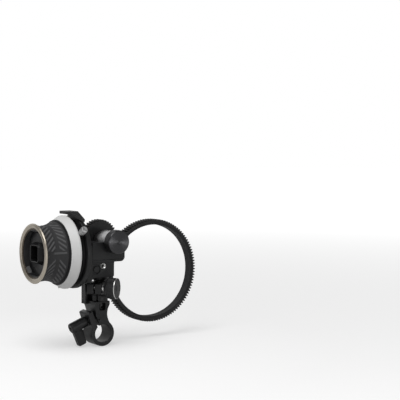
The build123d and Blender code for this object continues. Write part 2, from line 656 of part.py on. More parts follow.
def base_plug():
    plug = rod_y(0.1, 1.6, PLUG_D)
    slot = block(-PLUG_D, PLUG_D, -1, 0.7, -0.45, 0.45)
    return plug_place(plug - slot)


def base_screws():
    screws = []
    for x, y in base_screw_places():
        screw = rod_z(BASE_BOTTOM + 0.3, BOX_BOTTOM + BASE_SCREW_DEPTH, BASE_SCREW_D)
        screw += rod_z(BASE_BOTTOM + 0.3, BASE_BOTTOM + BASE_HEAD, HEAD_RATIO * BASE_SCREW_D - 0.04)
        screws.append(Pos(x, y, 0) * screw)
    return Compound(children=screws)


def block_screw_places():
    """Screws of the side plate that enter the block."""
    return [(BOX_NEAR + 5.0, BLOCK_FLOOR + 5.5), (BOX_FAR - 3.0, BLOCK_FLOOR + 5.5)]


def wall_screw_places():
    """Screws of the side plate that enter the housing's wall."""
    return [(BOX_NEAR + 4.3, AXIS_Z + PLATE_OVER - 3.6), (BOX_NEAR + 4.3, AXIS_Z - BOX_UNDER + 3.0)]


def side_plate():
    z0, z1 = AXIS_Z - PLATE_UNDER, AXIS_Z + PLATE_OVER
    plate = block(PLATE_LEFT, BOX_LEFT, BOX_NEAR, BOX_FAR + PLATE_BEYOND, z0, z1)
    plate = fillet(plate.edges().filter_by(Axis.X), PLATE_CORNER)
    plate -= on_wheel(rod_x(PLATE_LEFT - 1, BOX_LEFT + 1, BUSH_D))
    for y, z in hub_screw_places():
        plate -= Pos(0, y, z) * rod_x(PLATE_LEFT - 1, BOX_LEFT + 1, HUB_SCREW_D)
    for y, z in block_screw_places() + wall_screw_places():
        plate -= Pos(PLATE_LEFT, y, z) * rod_x(-1, PLATE_THICK + 1, PLATE_SCREW_D)
        plate -= Pos(PLATE_LEFT, y, z) * rod_x(-1, HEAD_DEPTH + 0.2, HEAD_RATIO * PLATE_SCREW_D)
    return plate


def plate_screws():
    screws = []
    for y, z in block_screw_places() + wall_screw_places():
        screw = rod_x(0.2, PLATE_THICK + PLATE_SCREW_DEPTH, PLATE_SCREW_D)
        screw += rod_x(0.2, HEAD_DEPTH + 0.2, HEAD_RATIO * PLATE_SCREW_D - 0.04)
        screws.append(Pos(PLATE_LEFT, y, z) * screw)
    return Compound(children=screws)


def hub_screw_places():
    r = HUB_SCREW_CIRCLE / 2
    places = []
    for angle in (45, 135, 225, 315):
        a = math.radians(angle)
        places.append((AXIS_Y + r * math.cos(a), AXIS_Z + r * math.sin(a)))
    return places


def stop_hub():
    r_seat, r_boss, r_rim = STOP_BORE / 2 - RUN_FIT, STOP_HUB_D / 2, FLANGE_D / 2
    x0, x1, c = HUB_FLANGE_X, HUB_FLANGE_X + FLANGE_THICK, FLANGE_CHAMFER
    hub = turned_x([(STOP_A_X, 0), (STOP_A_X, r_seat), (x0, r_seat), (x0, r_rim - c), (x0 + c, r_rim),
                    (x1 - c, r_rim), (x1, r_rim - c), (x1, r_boss), (PLATE_LEFT - 1.5, r_boss),
                    (PLATE_LEFT, r_boss - 1.5), (PLATE_LEFT, 0)])
    hub -= rod_x(STOP_A_X - 1, PLATE_LEFT + 1, SHAFT_D + 2 * SKIN_GAP + 1.0)
    hub = on_wheel(hub)
    for y, z in hub_screw_places():
        hub -= Pos(0, y, z) * rod_x(STOP_A_X - 1, PLATE_LEFT + 1, HUB_SCREW_D)
        hub -= Pos(0, y, z) * rod_x(STOP_A_X - 1, STOP_A_X + HUB_HEAD_DEPTH, HUB_HEAD_D + 0.1)
    for x, y in pointer_screw_places():
        low = FLANGE_D / 2 - POINTER_SCREW_GRIP - 0.2
        hub -= on_wheel(Pos(x, y, 0) * rod_z(low, FLANGE_D, POINTER_SCREW_D))
    return hub


def hub_screws():
    screws = []
    for y, z in hub_screw_places():
        screw = rod_x(STOP_A_X + 0.2, BOX_LEFT - 0.3, HUB_SCREW_D)
        screw += rod_x(STOP_A_X + 0.2, STOP_A_X + HUB_HEAD_DEPTH, HUB_HEAD_D)
        screws.append(Pos(0, y, z) * screw)
    return Compound(children=screws)


def pointer_screw_places():
    """Along X, and along Y from the handwheel axis."""
    x = (HUB_FLANGE_X + POINTER_RIGHT) / 2
    return [(x, LEG_SHIFT + k * POINTER_SCREW_PITCH / 2) for k in (-1, 1)]


def index_pointer():
    r0 = MARK_D / 2 + POINTER_GAP
    r1 = r0 + POINTER_THICK
    left, right = RIM_X - POINTER_OVER, POINTER_RIGHT
    slope = math.tan(math.radians(POINTER_SLOPE))
    bend, end = -POINTER_BEND, -POINTER_NEAR
    shell = make_face(Polyline((POINTER_FAR, r0), (POINTER_FAR, r1), (bend, r1), (end, r1 + slope * (end - bend)),
                               (end + slope * POINTER_THICK / 2, r0 + slope * (end - bend)), (bend + 0.6, r0), close=True))
    shell = Pos(left, 0, 0) * extrude(Plane.YZ * shell, right - left)
    corner = make_face(Polyline((left - 1, -POINTER_TIP), (left, -POINTER_TIP), (right, end - POINTER_INSET),
                                (right, 2 * end), (left - 1, 2 * end), close=True))
    shell -= extrude(Plane.XY * corner, 2 * r1)
    foot = block(HUB_FLANGE_X, right, LEG_SHIFT - LEG_WIDTH / 2, LEG_SHIFT + LEG_WIDTH / 2, 0, r0 + 0.1)
    pointer = shell + (foot - rod_x(HUB_FLANGE_X - 1, right + 1, FLANGE_D))
    for x, y in pointer_screw_places():
        pointer -= Pos(x, y, 0) * rod_z(0, 2 * r1, POINTER_SCREW_D)
        pointer -= Pos(x, y, 0) * rod_z(r1 - POINTER_BORE_DEPTH, 2 * r1, POINTER_HEAD_D)
    return on_wheel(pointer)


def pointer_screws():
    seat = MARK_D / 2 + POINTER_GAP + POINTER_THICK - POINTER_BORE_DEPTH
    screws = []
    for x, y in pointer_screw_places():
        screw = rod_z(FLANGE_D / 2 - POINTER_SCREW_GRIP, seat + 0.2, POINTER_SCREW_D)
        screw += rod_z(seat, seat + POINTER_HEAD, POINTER_HEAD_D - 0.04)
        screws.append(on_wheel(Pos(x, y, 0) * screw))
    return Compound(children=screws)


# ---------------------------------------------------------------- bushes and shafts
def shaft_sleeve():
    bore = SLEEVE_D - 2 * SLEEVE_WALL
    sleeve = rod_y(SLEEVE_NEAR, SLEEVE_FAR, SLEEVE_D)
    barrel = rod_y(SLEEVE_NEAR, BARREL_END, BARREL_D)
    sleeve += barrel & block(-BARREL_D, BARREL_D, SLEEVE_NEAR, BARREL_END, BOX_TOP - DRIVE_Z, BARREL_D)
    sleeve -= rod_y(SLEEVE_NEAR - 1, SLEEVE_FAR + 1, bore)
    reach = GEAR_OFFSET / 2 + 0.9
    window = block(-SLEEVE_D, SLEEVE_D, AXIS_Y - reach, AXIS_Y + reach, -SLEEVE_D, -3.2)
    return on_drive(sleeve - window)


def drive_bush(near):
    bore = SLEEVE_D - 2 * SLEEVE_WALL
    return on_drive(rod_y(near, near + DRIVE_BUSH_LENGTH, bore, SHAFT_D + 2 * RUN_FIT))


def input_bush(x0, length):
    return on_wheel(rod_x(x0, x0 + length, BUSH_D, SHAFT_D + 2 * RUN_FIT))


def input_shaft():
    return on_wheel(rod_x(NUT_X + 0.4, BOX_RIGHT - BOX_RIGHT_WALL + BUSH_LENGTH - 0.3, SHAFT_D))


def input_gear():
    gear = Rot(0, 90, 0) * Rot(0, 0, 180) * helical_gear()
    return Pos(DRIVE_X, AXIS_Y, AXIS_Z) * gear


def output_gear():
    turn = 180 / HELICAL_TEETH
    gear = Rot(-90, 0, 0) * Rot(0, 0, 90 + turn) * helical_gear()
    return Pos(DRIVE_X, AXIS_Y, DRIVE_Z) * gear


def drive_shaft():
    bore = DRAWBAR_D + 2 * RUN_FIT
    return on_drive(rod_y(SLEEVE_NEAR - CLIP_THICK - 0.3, GEAR_START + GEAR_WIDTH - 0.6, SHAFT_D, bore))


def drive_clips():
    near = rod_y(SLEEVE_NEAR - CLIP_THICK - 0.2, SLEEVE_NEAR - 0.2, CLIP_D, SHAFT_D)
    far = rod_y(SLEEVE_FAR + 0.2, SLEEVE_FAR + 0.2 + CLIP_THICK, CLIP_D, SHAFT_D)
    return Compound(children=[on_drive(near), on_drive(far)])


def drive_gear():
    turn = RING_BELOW
    face = Rot(0, 0, -turn) * gear_outline(DRIVE_TEETH, MODULE, BACKLASH)
    gear = gear_y(face, GEAR_START, GEAR_WIDTH)
    root = MODULE * (DRIVE_TEETH - 2.5)
    rim = root - 2 * GEAR_RIM
    gear -= rod_y(GEAR_START + GEAR_WEB, 2 * GEAR_WIDTH, rim, GEAR_HUB_D)
    gear -= rod_y(GEAR_START - 1, 2 * GEAR_WIDTH, SHAFT_D)
    return on_drive(gear)


def gear_lock_knob():
    y1 = SLEEVE_NEAR - CLIP_THICK - 0.3
    y0 = y1 - LOCK_KNOB_LENGTH
    r = LOCK_KNOB_D / 2
    profile = make_face(Polyline((0, y0), (r - 0.6, y0), (r, y0 + 0.6), (r, y1 - 1.0), (r - 1.0, y1), (0, y1),
                                 close=True))
    knob = revolve(profile, Axis.Y)
    knob -= rod_y(y0 + 3.0, y1 + 1, DRAWBAR_D)
    return on_drive(knob)


def gear_drawbar():
    y0 = SLEEVE_NEAR - CLIP_THICK - 0.3 - LOCK_KNOB_LENGTH + 3.0
    y1 = GEAR_START + GEAR_WIDTH
    return on_drive(rod_y(y0, y1 + CAP_THICK, DRAWBAR_D) + rod_y(y1 + 0.1, y1 + CAP_THICK, CAP_D))


# ---------------------------------------------------------------- handwheel
def wheel_hub():
    r_grip_rear = GRIP_REAR_D / 2 - RUBBER_THICK
    r_waist = GRIP_WAIST_D / 2 - RUBBER_THICK
    r_front = GRIP_FRONT_D / 2 - RUBBER_THICK
    r_mark = MARK_SEAT_D / 2
    r_dish = BEZEL_BORE / 2
    x_dish = GRIP_FRONT_X
    hub = turned_x([
        (DISH_FLOOR_X, 0), (DISH_FLOOR_X, DISH_FLOOR_D / 2), (x_dish, r_dish), (GRIP_FRONT_X, r_front),
        (GRIP_FRONT_X + WAIST_BACK, r_waist), (GRIP_REAR_X, r_grip_rear), (GRIP_REAR_X, r_mark),
        (RIM_X - 1.0, r_mark), (RIM_X - 1.0, HUB_BORE_D / 2 + 10.5), (DISH_FLOOR_X + HUB_WEB, HUB_BORE_D / 2 + 8.0),
        (DISH_FLOOR_X + HUB_WEB, 0)])
    hub += rod_x(DISH_FLOOR_X + HUB_WEB, RIM_X - 1.0, HUB_BORE_D)
    hub -= rod_x(BEZEL_FACE_X, NUT_X - 0.1, SOCKET_BOSS_D - 2 * SOCKET_STEP)
    hub -= rod_x(NUT_X - 0.2, NUT_X + WHEEL_NUT_THICK + 0.1, WHEEL_NUT_D + 0.4)
    hub -= rod_x(NUT_X, RIM_X, SHAFT_D)
    return on_wheel(hub)


def rubber_grip():
    rear, waist, front = GRIP_REAR_D / 2, GRIP_WAIST_D / 2, GRIP_FRONT_D / 2
    outer = Spline((GRIP_FRONT_X, front), (GRIP_FRONT_X + WAIST_BACK, waist), (GRIP_REAR_X - 0.8, rear))
    t = RUBBER_THICK
    inner = Polyline((GRIP_REAR_X - 0.8, rear), (GRIP_REAR_X, rear - 0.8), (GRIP_REAR_X, rear - t),
                     (GRIP_FRONT_X + WAIST_BACK, waist - t), (GRIP_FRONT_X, front - t), (GRIP_FRONT_X, front))
    return on_wheel(revolve(make_face(outer + inner), Axis.X))


def bezel_ring():
    x0, x1 = BEZEL_FACE_X, GRIP_FRONT_X
    r0, r1 = BEZEL_BORE / 2, BEZEL_D / 2
    return on_wheel(turned_x([(x0 + 1.2, r0), (x0, r0 + 1.2), (x0, r1 - 1.0), (x0 + 1.0, r1), (x1 - 0.4, r1), (x1, r1 - 0.4),
                              (x1, r0)]))


def crank_socket():
    x0 = DISH_FLOOR_X - SOCKET_PROUD
    x1 = DISH_FLOOR_X + HUB_WEB - SOCKET_SEAT
    r = SOCKET_BOSS_D / 2 - SOCKET_STEP
    socket = turned_x([(x0, 0), (x0, r - 1.4), (DISH_FLOOR_X, r), (x1, r), (x1, 0)])
    side = SOCKET_ACROSS / 2
    socket -= block(x0 - 1, x0 + SOCKET_DEPTH, -side, side, -side, side)
    return on_wheel(socket)


def marking_ring():
    r_in, r_lip = MARK_SEAT_D / 2, MARK_D / 2 - MARK_LIP
    ring = turned_x([(GRIP_REAR_X, r_in), (GRIP_REAR_X, MARK_FRONT_D / 2 - 0.5), (GRIP_REAR_X + 0.5, MARK_FRONT_D / 2),
                     (RIM_X - MARK_LAND, MARK_D / 2), (RIM_X, MARK_D / 2), (RIM_X, r_lip),
                     (RIM_X - 1.0, r_lip), (RIM_X - 1.0, r_in)])
    ring -= pin_place(rod_x(RIM_X - 5.1, RIM_X + 8, STOP_PIN_D))
    return on_wheel(ring)


def around(angle, shape):
    """Turn a piece about the X axis; 0 is straight up and positive angles lean to -Y."""
    return Rot(angle, 0, 0) * shape


def pin_place(shape):
    return around(PIN_ANGLE, Pos(0, 0, STOP_PIN_CIRCLE / 2) * shape)


def wheel_stop_pin():
    return on_wheel(pin_place(rod_x(RIM_X - 5, STOP_B_X + STOP_THICK - 0.4, STOP_PIN_D)))


def wheel_nut():
    nut = extrude(RegularPolygon(WHEEL_NUT_D / 2, 6), WHEEL_NUT_THICK)
    nut = Pos(NUT_X, 0, 0) * (Rot(0, 90, 0) * nut)
    return on_wheel(nut - rod_x(NUT_X - 1, NUT_X + 2 * WHEEL_NUT_THICK, SHAFT_D))


def damping_washer():
    return on_wheel(rod_x(RIM_X - 1.0, RIM_X - 1.0 + DAMPER_THICK, DAMPER_D, HUB_BORE_D - 6.0))


def stop_ring(x0, boss_x, angle):
    half = STOP_BOSS_WIDTH / 2
    ring = rod_x(x0, x0 + STOP_THICK, STOP_D)
    ring += around(angle, block(x0, x0 + STOP_THICK, -half, half, 0, STOP_BOSS_D / 2))
    over = block(boss_x, boss_x + STOP_BOSS_LENGTH, -half, half, STOP_D / 2 + SKIN_GAP, STOP_BOSS_D / 2)
    ring += around(angle, over)
    ring -= rod_x(x0 - 1, x0 + STOP_THICK + 1, STOP_BORE)
    hole = Pos(boss_x + STOP_BOSS_LENGTH / 2, 0, 0) * rod_z(THUMB_HOLE, STOP_BOSS_D, THUMB_STEM_D)
    return on_wheel(ring - around(angle, hole))


def stop_screw(boss_x, angle):
    stem = rod_z(THUMB_HOLE + 0.3, THUMB_START + THUMB_LENGTH / 2, THUMB_STEM_D - 2 * RUN_FIT)
    screw = stem + Pos(0, 0, THUMB_START) * knurled(THUMB_D, THUMB_LENGTH, 16, 0.35)
    return on_wheel(around(angle, Pos(boss_x + STOP_BOSS_LENGTH / 2, 0, 0) * screw))


# ---------------------------------------------------------------- lens ring
def lens_gear_ring():
    turn = 180 - RING_BELOW + 180 / RING_TEETH
    face = Rot(0, 0, turn) * gear_outline(RING_TEETH, MODULE, BACKLASH)
    near = GEAR_START + GEAR_WIDTH / 2 - RING_WIDTH / 2
    ring = gear_y(face, near, RING_WIDTH)
    bore = MODULE * (RING_TEETH + 2) - 2 * RING_RADIAL + 2 * LINER_THICK
    ring -= rod_y(near - 1, near + RING_WIDTH + 1, bore)
    return Pos(RING_X, 0, RING_Z) * ring


def ring_liner():
    near = GEAR_START + GEAR_WIDTH / 2 - RING_WIDTH / 2
    outer = MODULE * (RING_TEETH + 2) - 2 * RING_RADIAL + 2 * LINER_THICK
    liner = rod_y(near + 0.4, near + RING_WIDTH - 0.4, outer, outer - 2 * LINER_THICK)
    return Pos(RING_X, 0, RING_Z) * liner


# ---------------------------------------------------------------- write the parts
PARTS = {
    "rod_clamp_body": rod_clamp_body,
    "thread_lock_screw": thread_lock_screw,
    "clamp_lever": clamp_lever,
    "clamp_stud": clamp_stud,
    "lever_end_screw": lever_end_screw,
    "swivel_collar": swivel_collar,
    "collar_nut": collar_nut,
    "swivel_stop_plate": swivel_stop_plate,
    "stop_plate_screws": stop_plate_screws,
    "swivel_knob": swivel_knob,
    "swivel_knob_screw": swivel_knob_screw,
    "swivel_washer": swivel_washer,
    "post_bush": post_bush,
    "swivel_post": swivel_post,
    "post_foot_screw": post_foot_screw,
    "gearbox_housing": gearbox_housing,
    "gearbox_base": gearbox_base,
    "base_plug": base_plug,
    "base_screws": base_screws,
    "side_plate": side_plate,
    "plate_screws": plate_screws,
    "stop_hub": stop_hub,
    "hub_screws": hub_screws,
    "index_pointer": index_pointer,
    "pointer_screws": pointer_screws,
    "shaft_sleeve": shaft_sleeve,
    "drive_bush_rear": lambda: drive_bush(SLEEVE_NEAR),
    "drive_bush_front": lambda: drive_bush(SLEEVE_FAR - DRIVE_BUSH_LENGTH),
    "input_bush_left": lambda: input_bush(PLATE_LEFT, PLATE_THICK + BOX_SIDE_WALL),
    "input_bush_right": lambda: input_bush(BOX_RIGHT - BOX_RIGHT_WALL, BUSH_LENGTH),
    "input_shaft": input_shaft,
    "input_gear": input_gear,
    "output_gear": output_gear,
    "drive_shaft": drive_shaft,
    "drive_clips": drive_clips,
    "drive_gear": drive_gear,
    "gear_lock_knob": gear_lock_knob,
    "gear_drawbar": gear_drawbar,
    "wheel_hub": wheel_hub,
    "rubber_grip": rubber_grip,
    "bezel_ring": bezel_ring,
    "crank_socket": crank_socket,
    "marking_ring": marking_ring,
    "wheel_stop_pin": wheel_stop_pin,
    "wheel_nut": wheel_nut,
    "damping_washer": damping_washer,
    "stop_ring_a": lambda: stop_ring(STOP_A_X, BOSS_A_X, SCREW_A_ANGLE),
    "stop_screw_a": lambda: stop_screw(BOSS_A_X, SCREW_A_ANGLE),
    "stop_ring_b": lambda: stop_ring(STOP_B_X, BOSS_B_X, SCREW_B_ANGLE),
    "stop_screw_b": lambda: stop_screw(BOSS_B_X, SCREW_B_ANGLE),
    "lens_gear_ring": lens_gear_ring,
    "ring_liner": ring_liner,
}

os.makedirs("parts", exist_ok=True)
for name, make in PARTS.items():
    export_step(make(), os.path.join("parts", name + ".step"))
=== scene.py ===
import math

import bmesh
import bpy
from mathutils import Matrix, Vector


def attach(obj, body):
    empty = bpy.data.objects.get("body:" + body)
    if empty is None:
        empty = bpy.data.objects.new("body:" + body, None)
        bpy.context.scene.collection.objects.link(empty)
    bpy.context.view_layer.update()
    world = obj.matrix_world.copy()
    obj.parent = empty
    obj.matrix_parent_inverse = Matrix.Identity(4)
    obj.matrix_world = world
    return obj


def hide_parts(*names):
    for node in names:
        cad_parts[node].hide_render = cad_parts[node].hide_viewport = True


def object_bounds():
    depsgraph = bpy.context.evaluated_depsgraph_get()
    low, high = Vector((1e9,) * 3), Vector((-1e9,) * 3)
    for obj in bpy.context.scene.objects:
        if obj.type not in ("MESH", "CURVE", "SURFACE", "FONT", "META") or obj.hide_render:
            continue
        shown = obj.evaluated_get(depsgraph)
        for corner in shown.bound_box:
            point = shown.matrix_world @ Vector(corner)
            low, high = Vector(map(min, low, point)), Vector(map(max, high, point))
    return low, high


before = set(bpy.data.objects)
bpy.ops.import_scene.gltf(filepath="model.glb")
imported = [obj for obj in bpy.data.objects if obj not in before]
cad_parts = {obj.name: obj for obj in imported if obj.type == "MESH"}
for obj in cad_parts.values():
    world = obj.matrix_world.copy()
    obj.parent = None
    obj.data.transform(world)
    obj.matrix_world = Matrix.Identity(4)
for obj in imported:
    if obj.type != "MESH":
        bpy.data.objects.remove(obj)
cad_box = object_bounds()

MM = 0.001

# ------------------------------------------------------------------ sizes of the object, in mm
AXIS_Y, AXIS_Z = -3.9, 69.6            # handwheel axis
DRIVE_X, DRIVE_Z = 4.0, 77.6           # drive shaft axis
RIM_X = -34.5                          # rear face of the marking ring
GRIP_REAR_X, GRIP_FRONT_X = -42.0, -61.7
WAIST_X = -52.3                        # narrowest place of the grip
BEZEL_FACE_X = -63.6
DISH_FLOOR_X = -57.6
SOCKET_FACE_X = -61.7
HUB_R = 23.95                          # the wheel hub behind the grip
MARK_R = 29.95                         # the marking ring at its widest
POST_Y = -2.0                          # the swivel post's axis
BLOCK_NEAR = -15.5                     # near face of the gearbox's bottom block
PLUG_X, PLUG_Z = -4.5, 57.4            # blanking screw in that face
LOCK_AXIS = (0.642788, -0.766044, 0.0)
LOCK_CENTRE = (-7.354, -8.171, 39.0)   # where the lock screw crosses the collar's split
SKIN = 0.02                            # how far a face keeps from the CAD face it stands for


# ------------------------------------------------------------------ node helpers
def add_node(tree, kind, inputs=None, **props):
    """A new node with its properties set and its inputs linked or set."""
    node = tree.nodes.new(kind)
    for key, value in props.items():
        setattr(node, key, value)
    for key, value in (inputs or {}).items():
        if isinstance(value, bpy.types.NodeSocket):
            tree.links.new(value, node.inputs[key])
        else:
            node.inputs[key].default_value = value
    return node


# The middle part of a noise that is spread over the range wanted: softly, or with more contrast.
SOFT = (0.3, 0.7)
HARD = (0.35, 0.65)


class Mat:
    """A Principled material and short ways to add the nodes that texture it."""

    def __init__(self, name, color, rough, metallic=0.0, specular=0.5):
        self.mat = bpy.data.materials.new(name)
        self.mat.use_nodes = True
        self.tree = self.mat.node_tree
        self.bsdf = self.tree.nodes["Principled BSDF"]
        self.bsdf.inputs["Base Color"].default_value = (*color, 1)
        self.bsdf.inputs["Roughness"].default_value = rough
        self.bsdf.inputs["Metallic"].default_value = metallic
        self.bsdf.inputs["Specular IOR Level"].default_value = specular
        self.coord = self.add("ShaderNodeTexCoord").outputs["Object"]

    def add(self, kind, inputs=None, **props):
        return add_node(self.tree, kind, inputs, **props)

    def noise(self, scale, detail=4.0, rough=0.55, stretch=None):
        vector = self.coord
        if stretch:
            vector = self.add("ShaderNodeMapping", {"Vector": vector, "Scale": stretch}).outputs[0]
        return self.add("ShaderNodeTexNoise", {"Vector": vector, "Scale": scale, "Detail": detail,
                                               "Roughness": rough}).outputs["Fac"]

    def remap(self, value, low, high, to_low=0.0, to_high=1.0):
        return self.add("ShaderNodeMapRange", {"Value": value, "From Min": low, "From Max": high,
                                               "To Min": to_low, "To Max": to_high}).outputs[0]

    def math(self, operation, a, b=0.0):
        return self.add("ShaderNodeMath", {0: a, 1: b}, operation=operation).outputs[0]

    def vector(self, operation, a, b=(0, 0, 0), output="Vector"):
        return self.add("ShaderNodeVectorMath", {0: a, 1: b}, operation=operation).outputs[output]

    def mix(self, factor, a, b):
        """Colour a where the factor is 0, b where it is 1."""
        a, b = (v if isinstance(v, bpy.types.NodeSocket) else (*v, 1) for v in (a, b))
        return self.add("ShaderNodeMix", {0: factor, 6: a, 7: b}, data_type="RGBA").outputs[2]

    def link(self, key, value):
        self.tree.links.new(value, self.bsdf.inputs[key])

    def bump(self, height, distance, strength, normal):
        return self.add("ShaderNodeBump", {"Height": height, "Distance": distance, "Strength": strength,
                                           "Normal": normal}).outputs[0]

    def rounded(self, radius):
        """A normal that rounds the edges by a radius in mm."""
        return self.add("ShaderNodeBevel", {"Radius": radius * MM}, samples=4).outputs[0]

    def edge_mask(self, normal):
        """Bright where the rounded normal leaves the true one: at edges."""
        true = self.add("ShaderNodeNewGeometry").outputs["True Normal"]
        return self.remap(self.vector("DOT_PRODUCT", normal, true, "Value"), 0.98, 0.80)


def blasted(name, color, rough, grain=9000, edge_wear_and_glint=0.2, worn_and_glint=(0.10, 0.10, 0.105), specular=0.27,
            round_to=0.22):
    """Bead-blasted, anodised metal: fine grain, uneven sheen, and paler edges that are partly wear,
    partly painted highlight.
    """
    m = Mat(name, color, rough, 0.0, specular)
    normal = m.rounded(round_to)
    edge = m.edge_mask(normal)
    patch = m.noise(260, 5, 0.6)
    # Paler edges: partly wear, partly painted highlight along the edges.
    worn_and_glint_mask = m.math("MULTIPLY", edge, m.remap(patch, *HARD, 0.25))
    worn_and_glint_mask = m.math("MULTIPLY", worn_and_glint_mask, edge_wear_and_glint)
    tone = m.remap(m.noise(90, 3), *SOFT)
    lighter = tuple(c * 1.25 + 0.002 for c in color)
    m.link("Base Color", m.mix(worn_and_glint_mask, m.mix(tone, color, lighter), worn_and_glint))
    sheen = m.remap(m.noise(140, 4), *SOFT, rough - 0.05, rough + 0.07)
    m.link("Roughness", m.math("SUBTRACT", sheen, m.math("MULTIPLY", edge, 0.08)))
    m.link("Normal", m.bump(m.noise(grain, 2, 0.5), 0.000012, 0.55, normal))
    return m.mat


def turned_metal(name, color, rough, about, axis, groove=0.00009, depth=0.000006, anisotropic=0.6,
                 tint=None, spin=0.0):
    """Metal with lathe marks: rings about a point on an axis ("X" or "Y"), in metres."""
    m = Mat(name, color, rough, 1.0, 0.5)
    m.bsdf.inputs["Anisotropic"].default_value = anisotropic
    m.bsdf.inputs["Anisotropic Rotation"].default_value = spin
    m.link("Tangent", m.add("ShaderNodeTangent", direction_type="RADIAL", axis=axis).outputs[0])
    moved = m.vector("SUBTRACT", m.coord, about)
    across = {"X": (0, 1, 1), "Y": (1, 0, 1)}[axis]
    radius = m.vector("LENGTH", m.vector("MULTIPLY", moved, across), output="Value")
    along = m.vector("DOT_PRODUCT", moved, tuple(1 - k for k in across), "Value")
    wave = m.add("ShaderNodeTexNoise", {"W": m.math("ADD", radius, along), "Scale": 1.0 / groove,
                                        "Detail": 3.0}, noise_dimensions="1D").outputs["Fac"]
    m.link("Normal", m.bump(wave, depth, 0.7, m.rounded(0.15)))
    m.link("Roughness", m.remap(m.noise(300, 4), *SOFT, rough - 0.05, rough + 0.08))
    if tint:
        m.link("Base Color", m.mix(m.remap(wave, *HARD), color, tint))
    return m.mat


def brushed(name, color, rough, stretch):
    """Satin metal with fine straight marks; stretch is small along the marks."""
    m = Mat(name, color, rough, 1.0, 0.5)
    marks = m.noise(2500, 3, 0.6, stretch)
    m.link("Roughness", m.remap(marks, *SOFT, rough - 0.06, rough + 0.10))
    m.link("Normal", m.bump(marks, 0.000006, 0.6, m.rounded(0.12)))
    darker = tuple(c * 0.86 for c in color)
    m.link("Base Color", m.mix(m.remap(m.noise(400, 4), *HARD), darker, color))
    return m.mat


def moulded(name, color, rough, grain=5200, depth=0.000014, specular=0.4, shade=0.12, painted_valley_shade=None):
    """Moulded plastic or rubber: matt skin, faint mottling, and painted shade in the valleys between
    ridges where a shade colour is given.
    """
    m = Mat(name, color, rough, 0.0, specular)
    mottle = m.remap(m.noise(180, 5, 0.6), *SOFT)
    base = m.mix(mottle, tuple(c * (1 - shade) for c in color), color)
    # Painted shade: the dark colour wherever the tread attribute is low, in the valleys and on the
    # untreaded faces.
    if painted_valley_shade:
        tread = m.add("ShaderNodeAttribute", attribute_name="tread").outputs["Fac"]
        base = m.mix(tread, painted_valley_shade, base)
    m.link("Base Color", base)
    m.link("Roughness", m.remap(m.noise(420, 4), *SOFT, rough - 0.05, rough + 0.06))
    m.link("Normal", m.bump(m.noise(grain, 3, 0.6), depth, 0.6, m.rounded(0.1)))
    return m.mat


# ------------------------------------------------------------------ materials
WHEEL_CENTRE = (0, AXIS_Y * MM, AXIS_Z * MM)
DRIVE_CENTRE = (DRIVE_X * MM, 0, DRIVE_Z * MM)

MATS = {
    "black_anodised": blasted("anodised_black", (0.0095, 0.0097, 0.0102), 0.42),
    # The clamp's strong pale edges: partly wear, partly painted highlight.
    "black_clamp": blasted("clamp_black", (0.0080, 0.0082, 0.0087), 0.38, edge_wear_and_glint=0.8,
                           worn_and_glint=(0.20, 0.20, 0.21), round_to=0.28),
    # Stop rings blacker and less shiny than the other anodising: painted shade for the deep gap between
    # the marking ring and the flange.
    "black_stop": blasted("stop_ring_shade_black", (0.0050, 0.0050, 0.0053), 0.42, edge_wear_and_glint=0.12, specular=0.15),
    "black_steel": blasted("black_oxide", (0.0080, 0.0080, 0.0084), 0.34, grain=14000, edge_wear_and_glint=0.15),
    "steel": brushed("satin_steel", (0.60, 0.60, 0.59), 0.30, (1, 1, 0.05)),
    "satin_aluminium": turned_metal("satin_aluminium", (0.58, 0.58, 0.58), 0.30, DRIVE_CENTRE, "Y",
                                    groove=0.0005, tint=(0.42, 0.42, 0.43)),
    "gear_steel": brushed("cut_steel", (0.42, 0.42, 0.42), 0.36, (1, 1, 0.1)),
    "bronze": turned_metal("bronze", (0.50, 0.34, 0.15), 0.40, DRIVE_CENTRE, "Y"),
    "champagne": turned_metal("champagne_bezel", (0.42, 0.380, 0.320), 0.34, WHEEL_CENTRE, "X",
                              groove=0.00012, depth=0.000001, anisotropic=0.2),
    # A dark brown for the bezel's inner lip: painted shade where the rounded bead turns away from the
    # light.
    "bezel_lip_painted_shade": turned_metal("bezel_lip_painted_shade", (0.105, 0.088, 0.070), 0.38, WHEEL_CENTRE, "X",
                                anisotropic=0.2),
    "knob_face": turned_metal("turned_black", (0.050, 0.050, 0.052), 0.32, DRIVE_CENTRE, "Y",
                              groove=0.00016, anisotropic=0.9, tint=(0.075, 0.075, 0.078), spin=0.25),
    "black_knob": blasted("knob_black", (0.0090, 0.0092, 0.0097), 0.40, edge_wear_and_glint=0.3),
    "gear_black": moulded("gear_black", (0.0080, 0.0080, 0.0084), 0.46, grain=6500, specular=0.3),
    # The grip's dark valley colour is painted shade between the ridges and in the rear groove.
    "grip_rubber": moulded("grip_rubber", (0.086, 0.086, 0.088), 0.60, depth=0.00002, specular=0.25,
                           painted_valley_shade=(0.026, 0.026, 0.027)),
    "liner_rubber": moulded("liner_rubber", (0.016, 0.016, 0.017), 0.66, specular=0.30),
    "white_plastic": moulded("marking_white", (0.63, 0.63, 0.625), 0.46, grain=7000, depth=0.000008,
                             shade=0.03),
    "dish_black": blasted("dish_black", (0.009, 0.0092, 0.0098), 0.30, grain=12000, edge_wear_and_glint=0.1,
                          specular=0.2, round_to=0.15),
    # Near-black and dull: painted shade inside the deep square hole.
    "pocket_painted_shade": moulded("pocket_painted_shade", (0.0035, 0.0035, 0.0037), 0.70, specular=0.08),
    "damper_felt": moulded("felt", (0.10, 0.10, 0.095), 0.85, grain=3000, depth=0.00006),
}
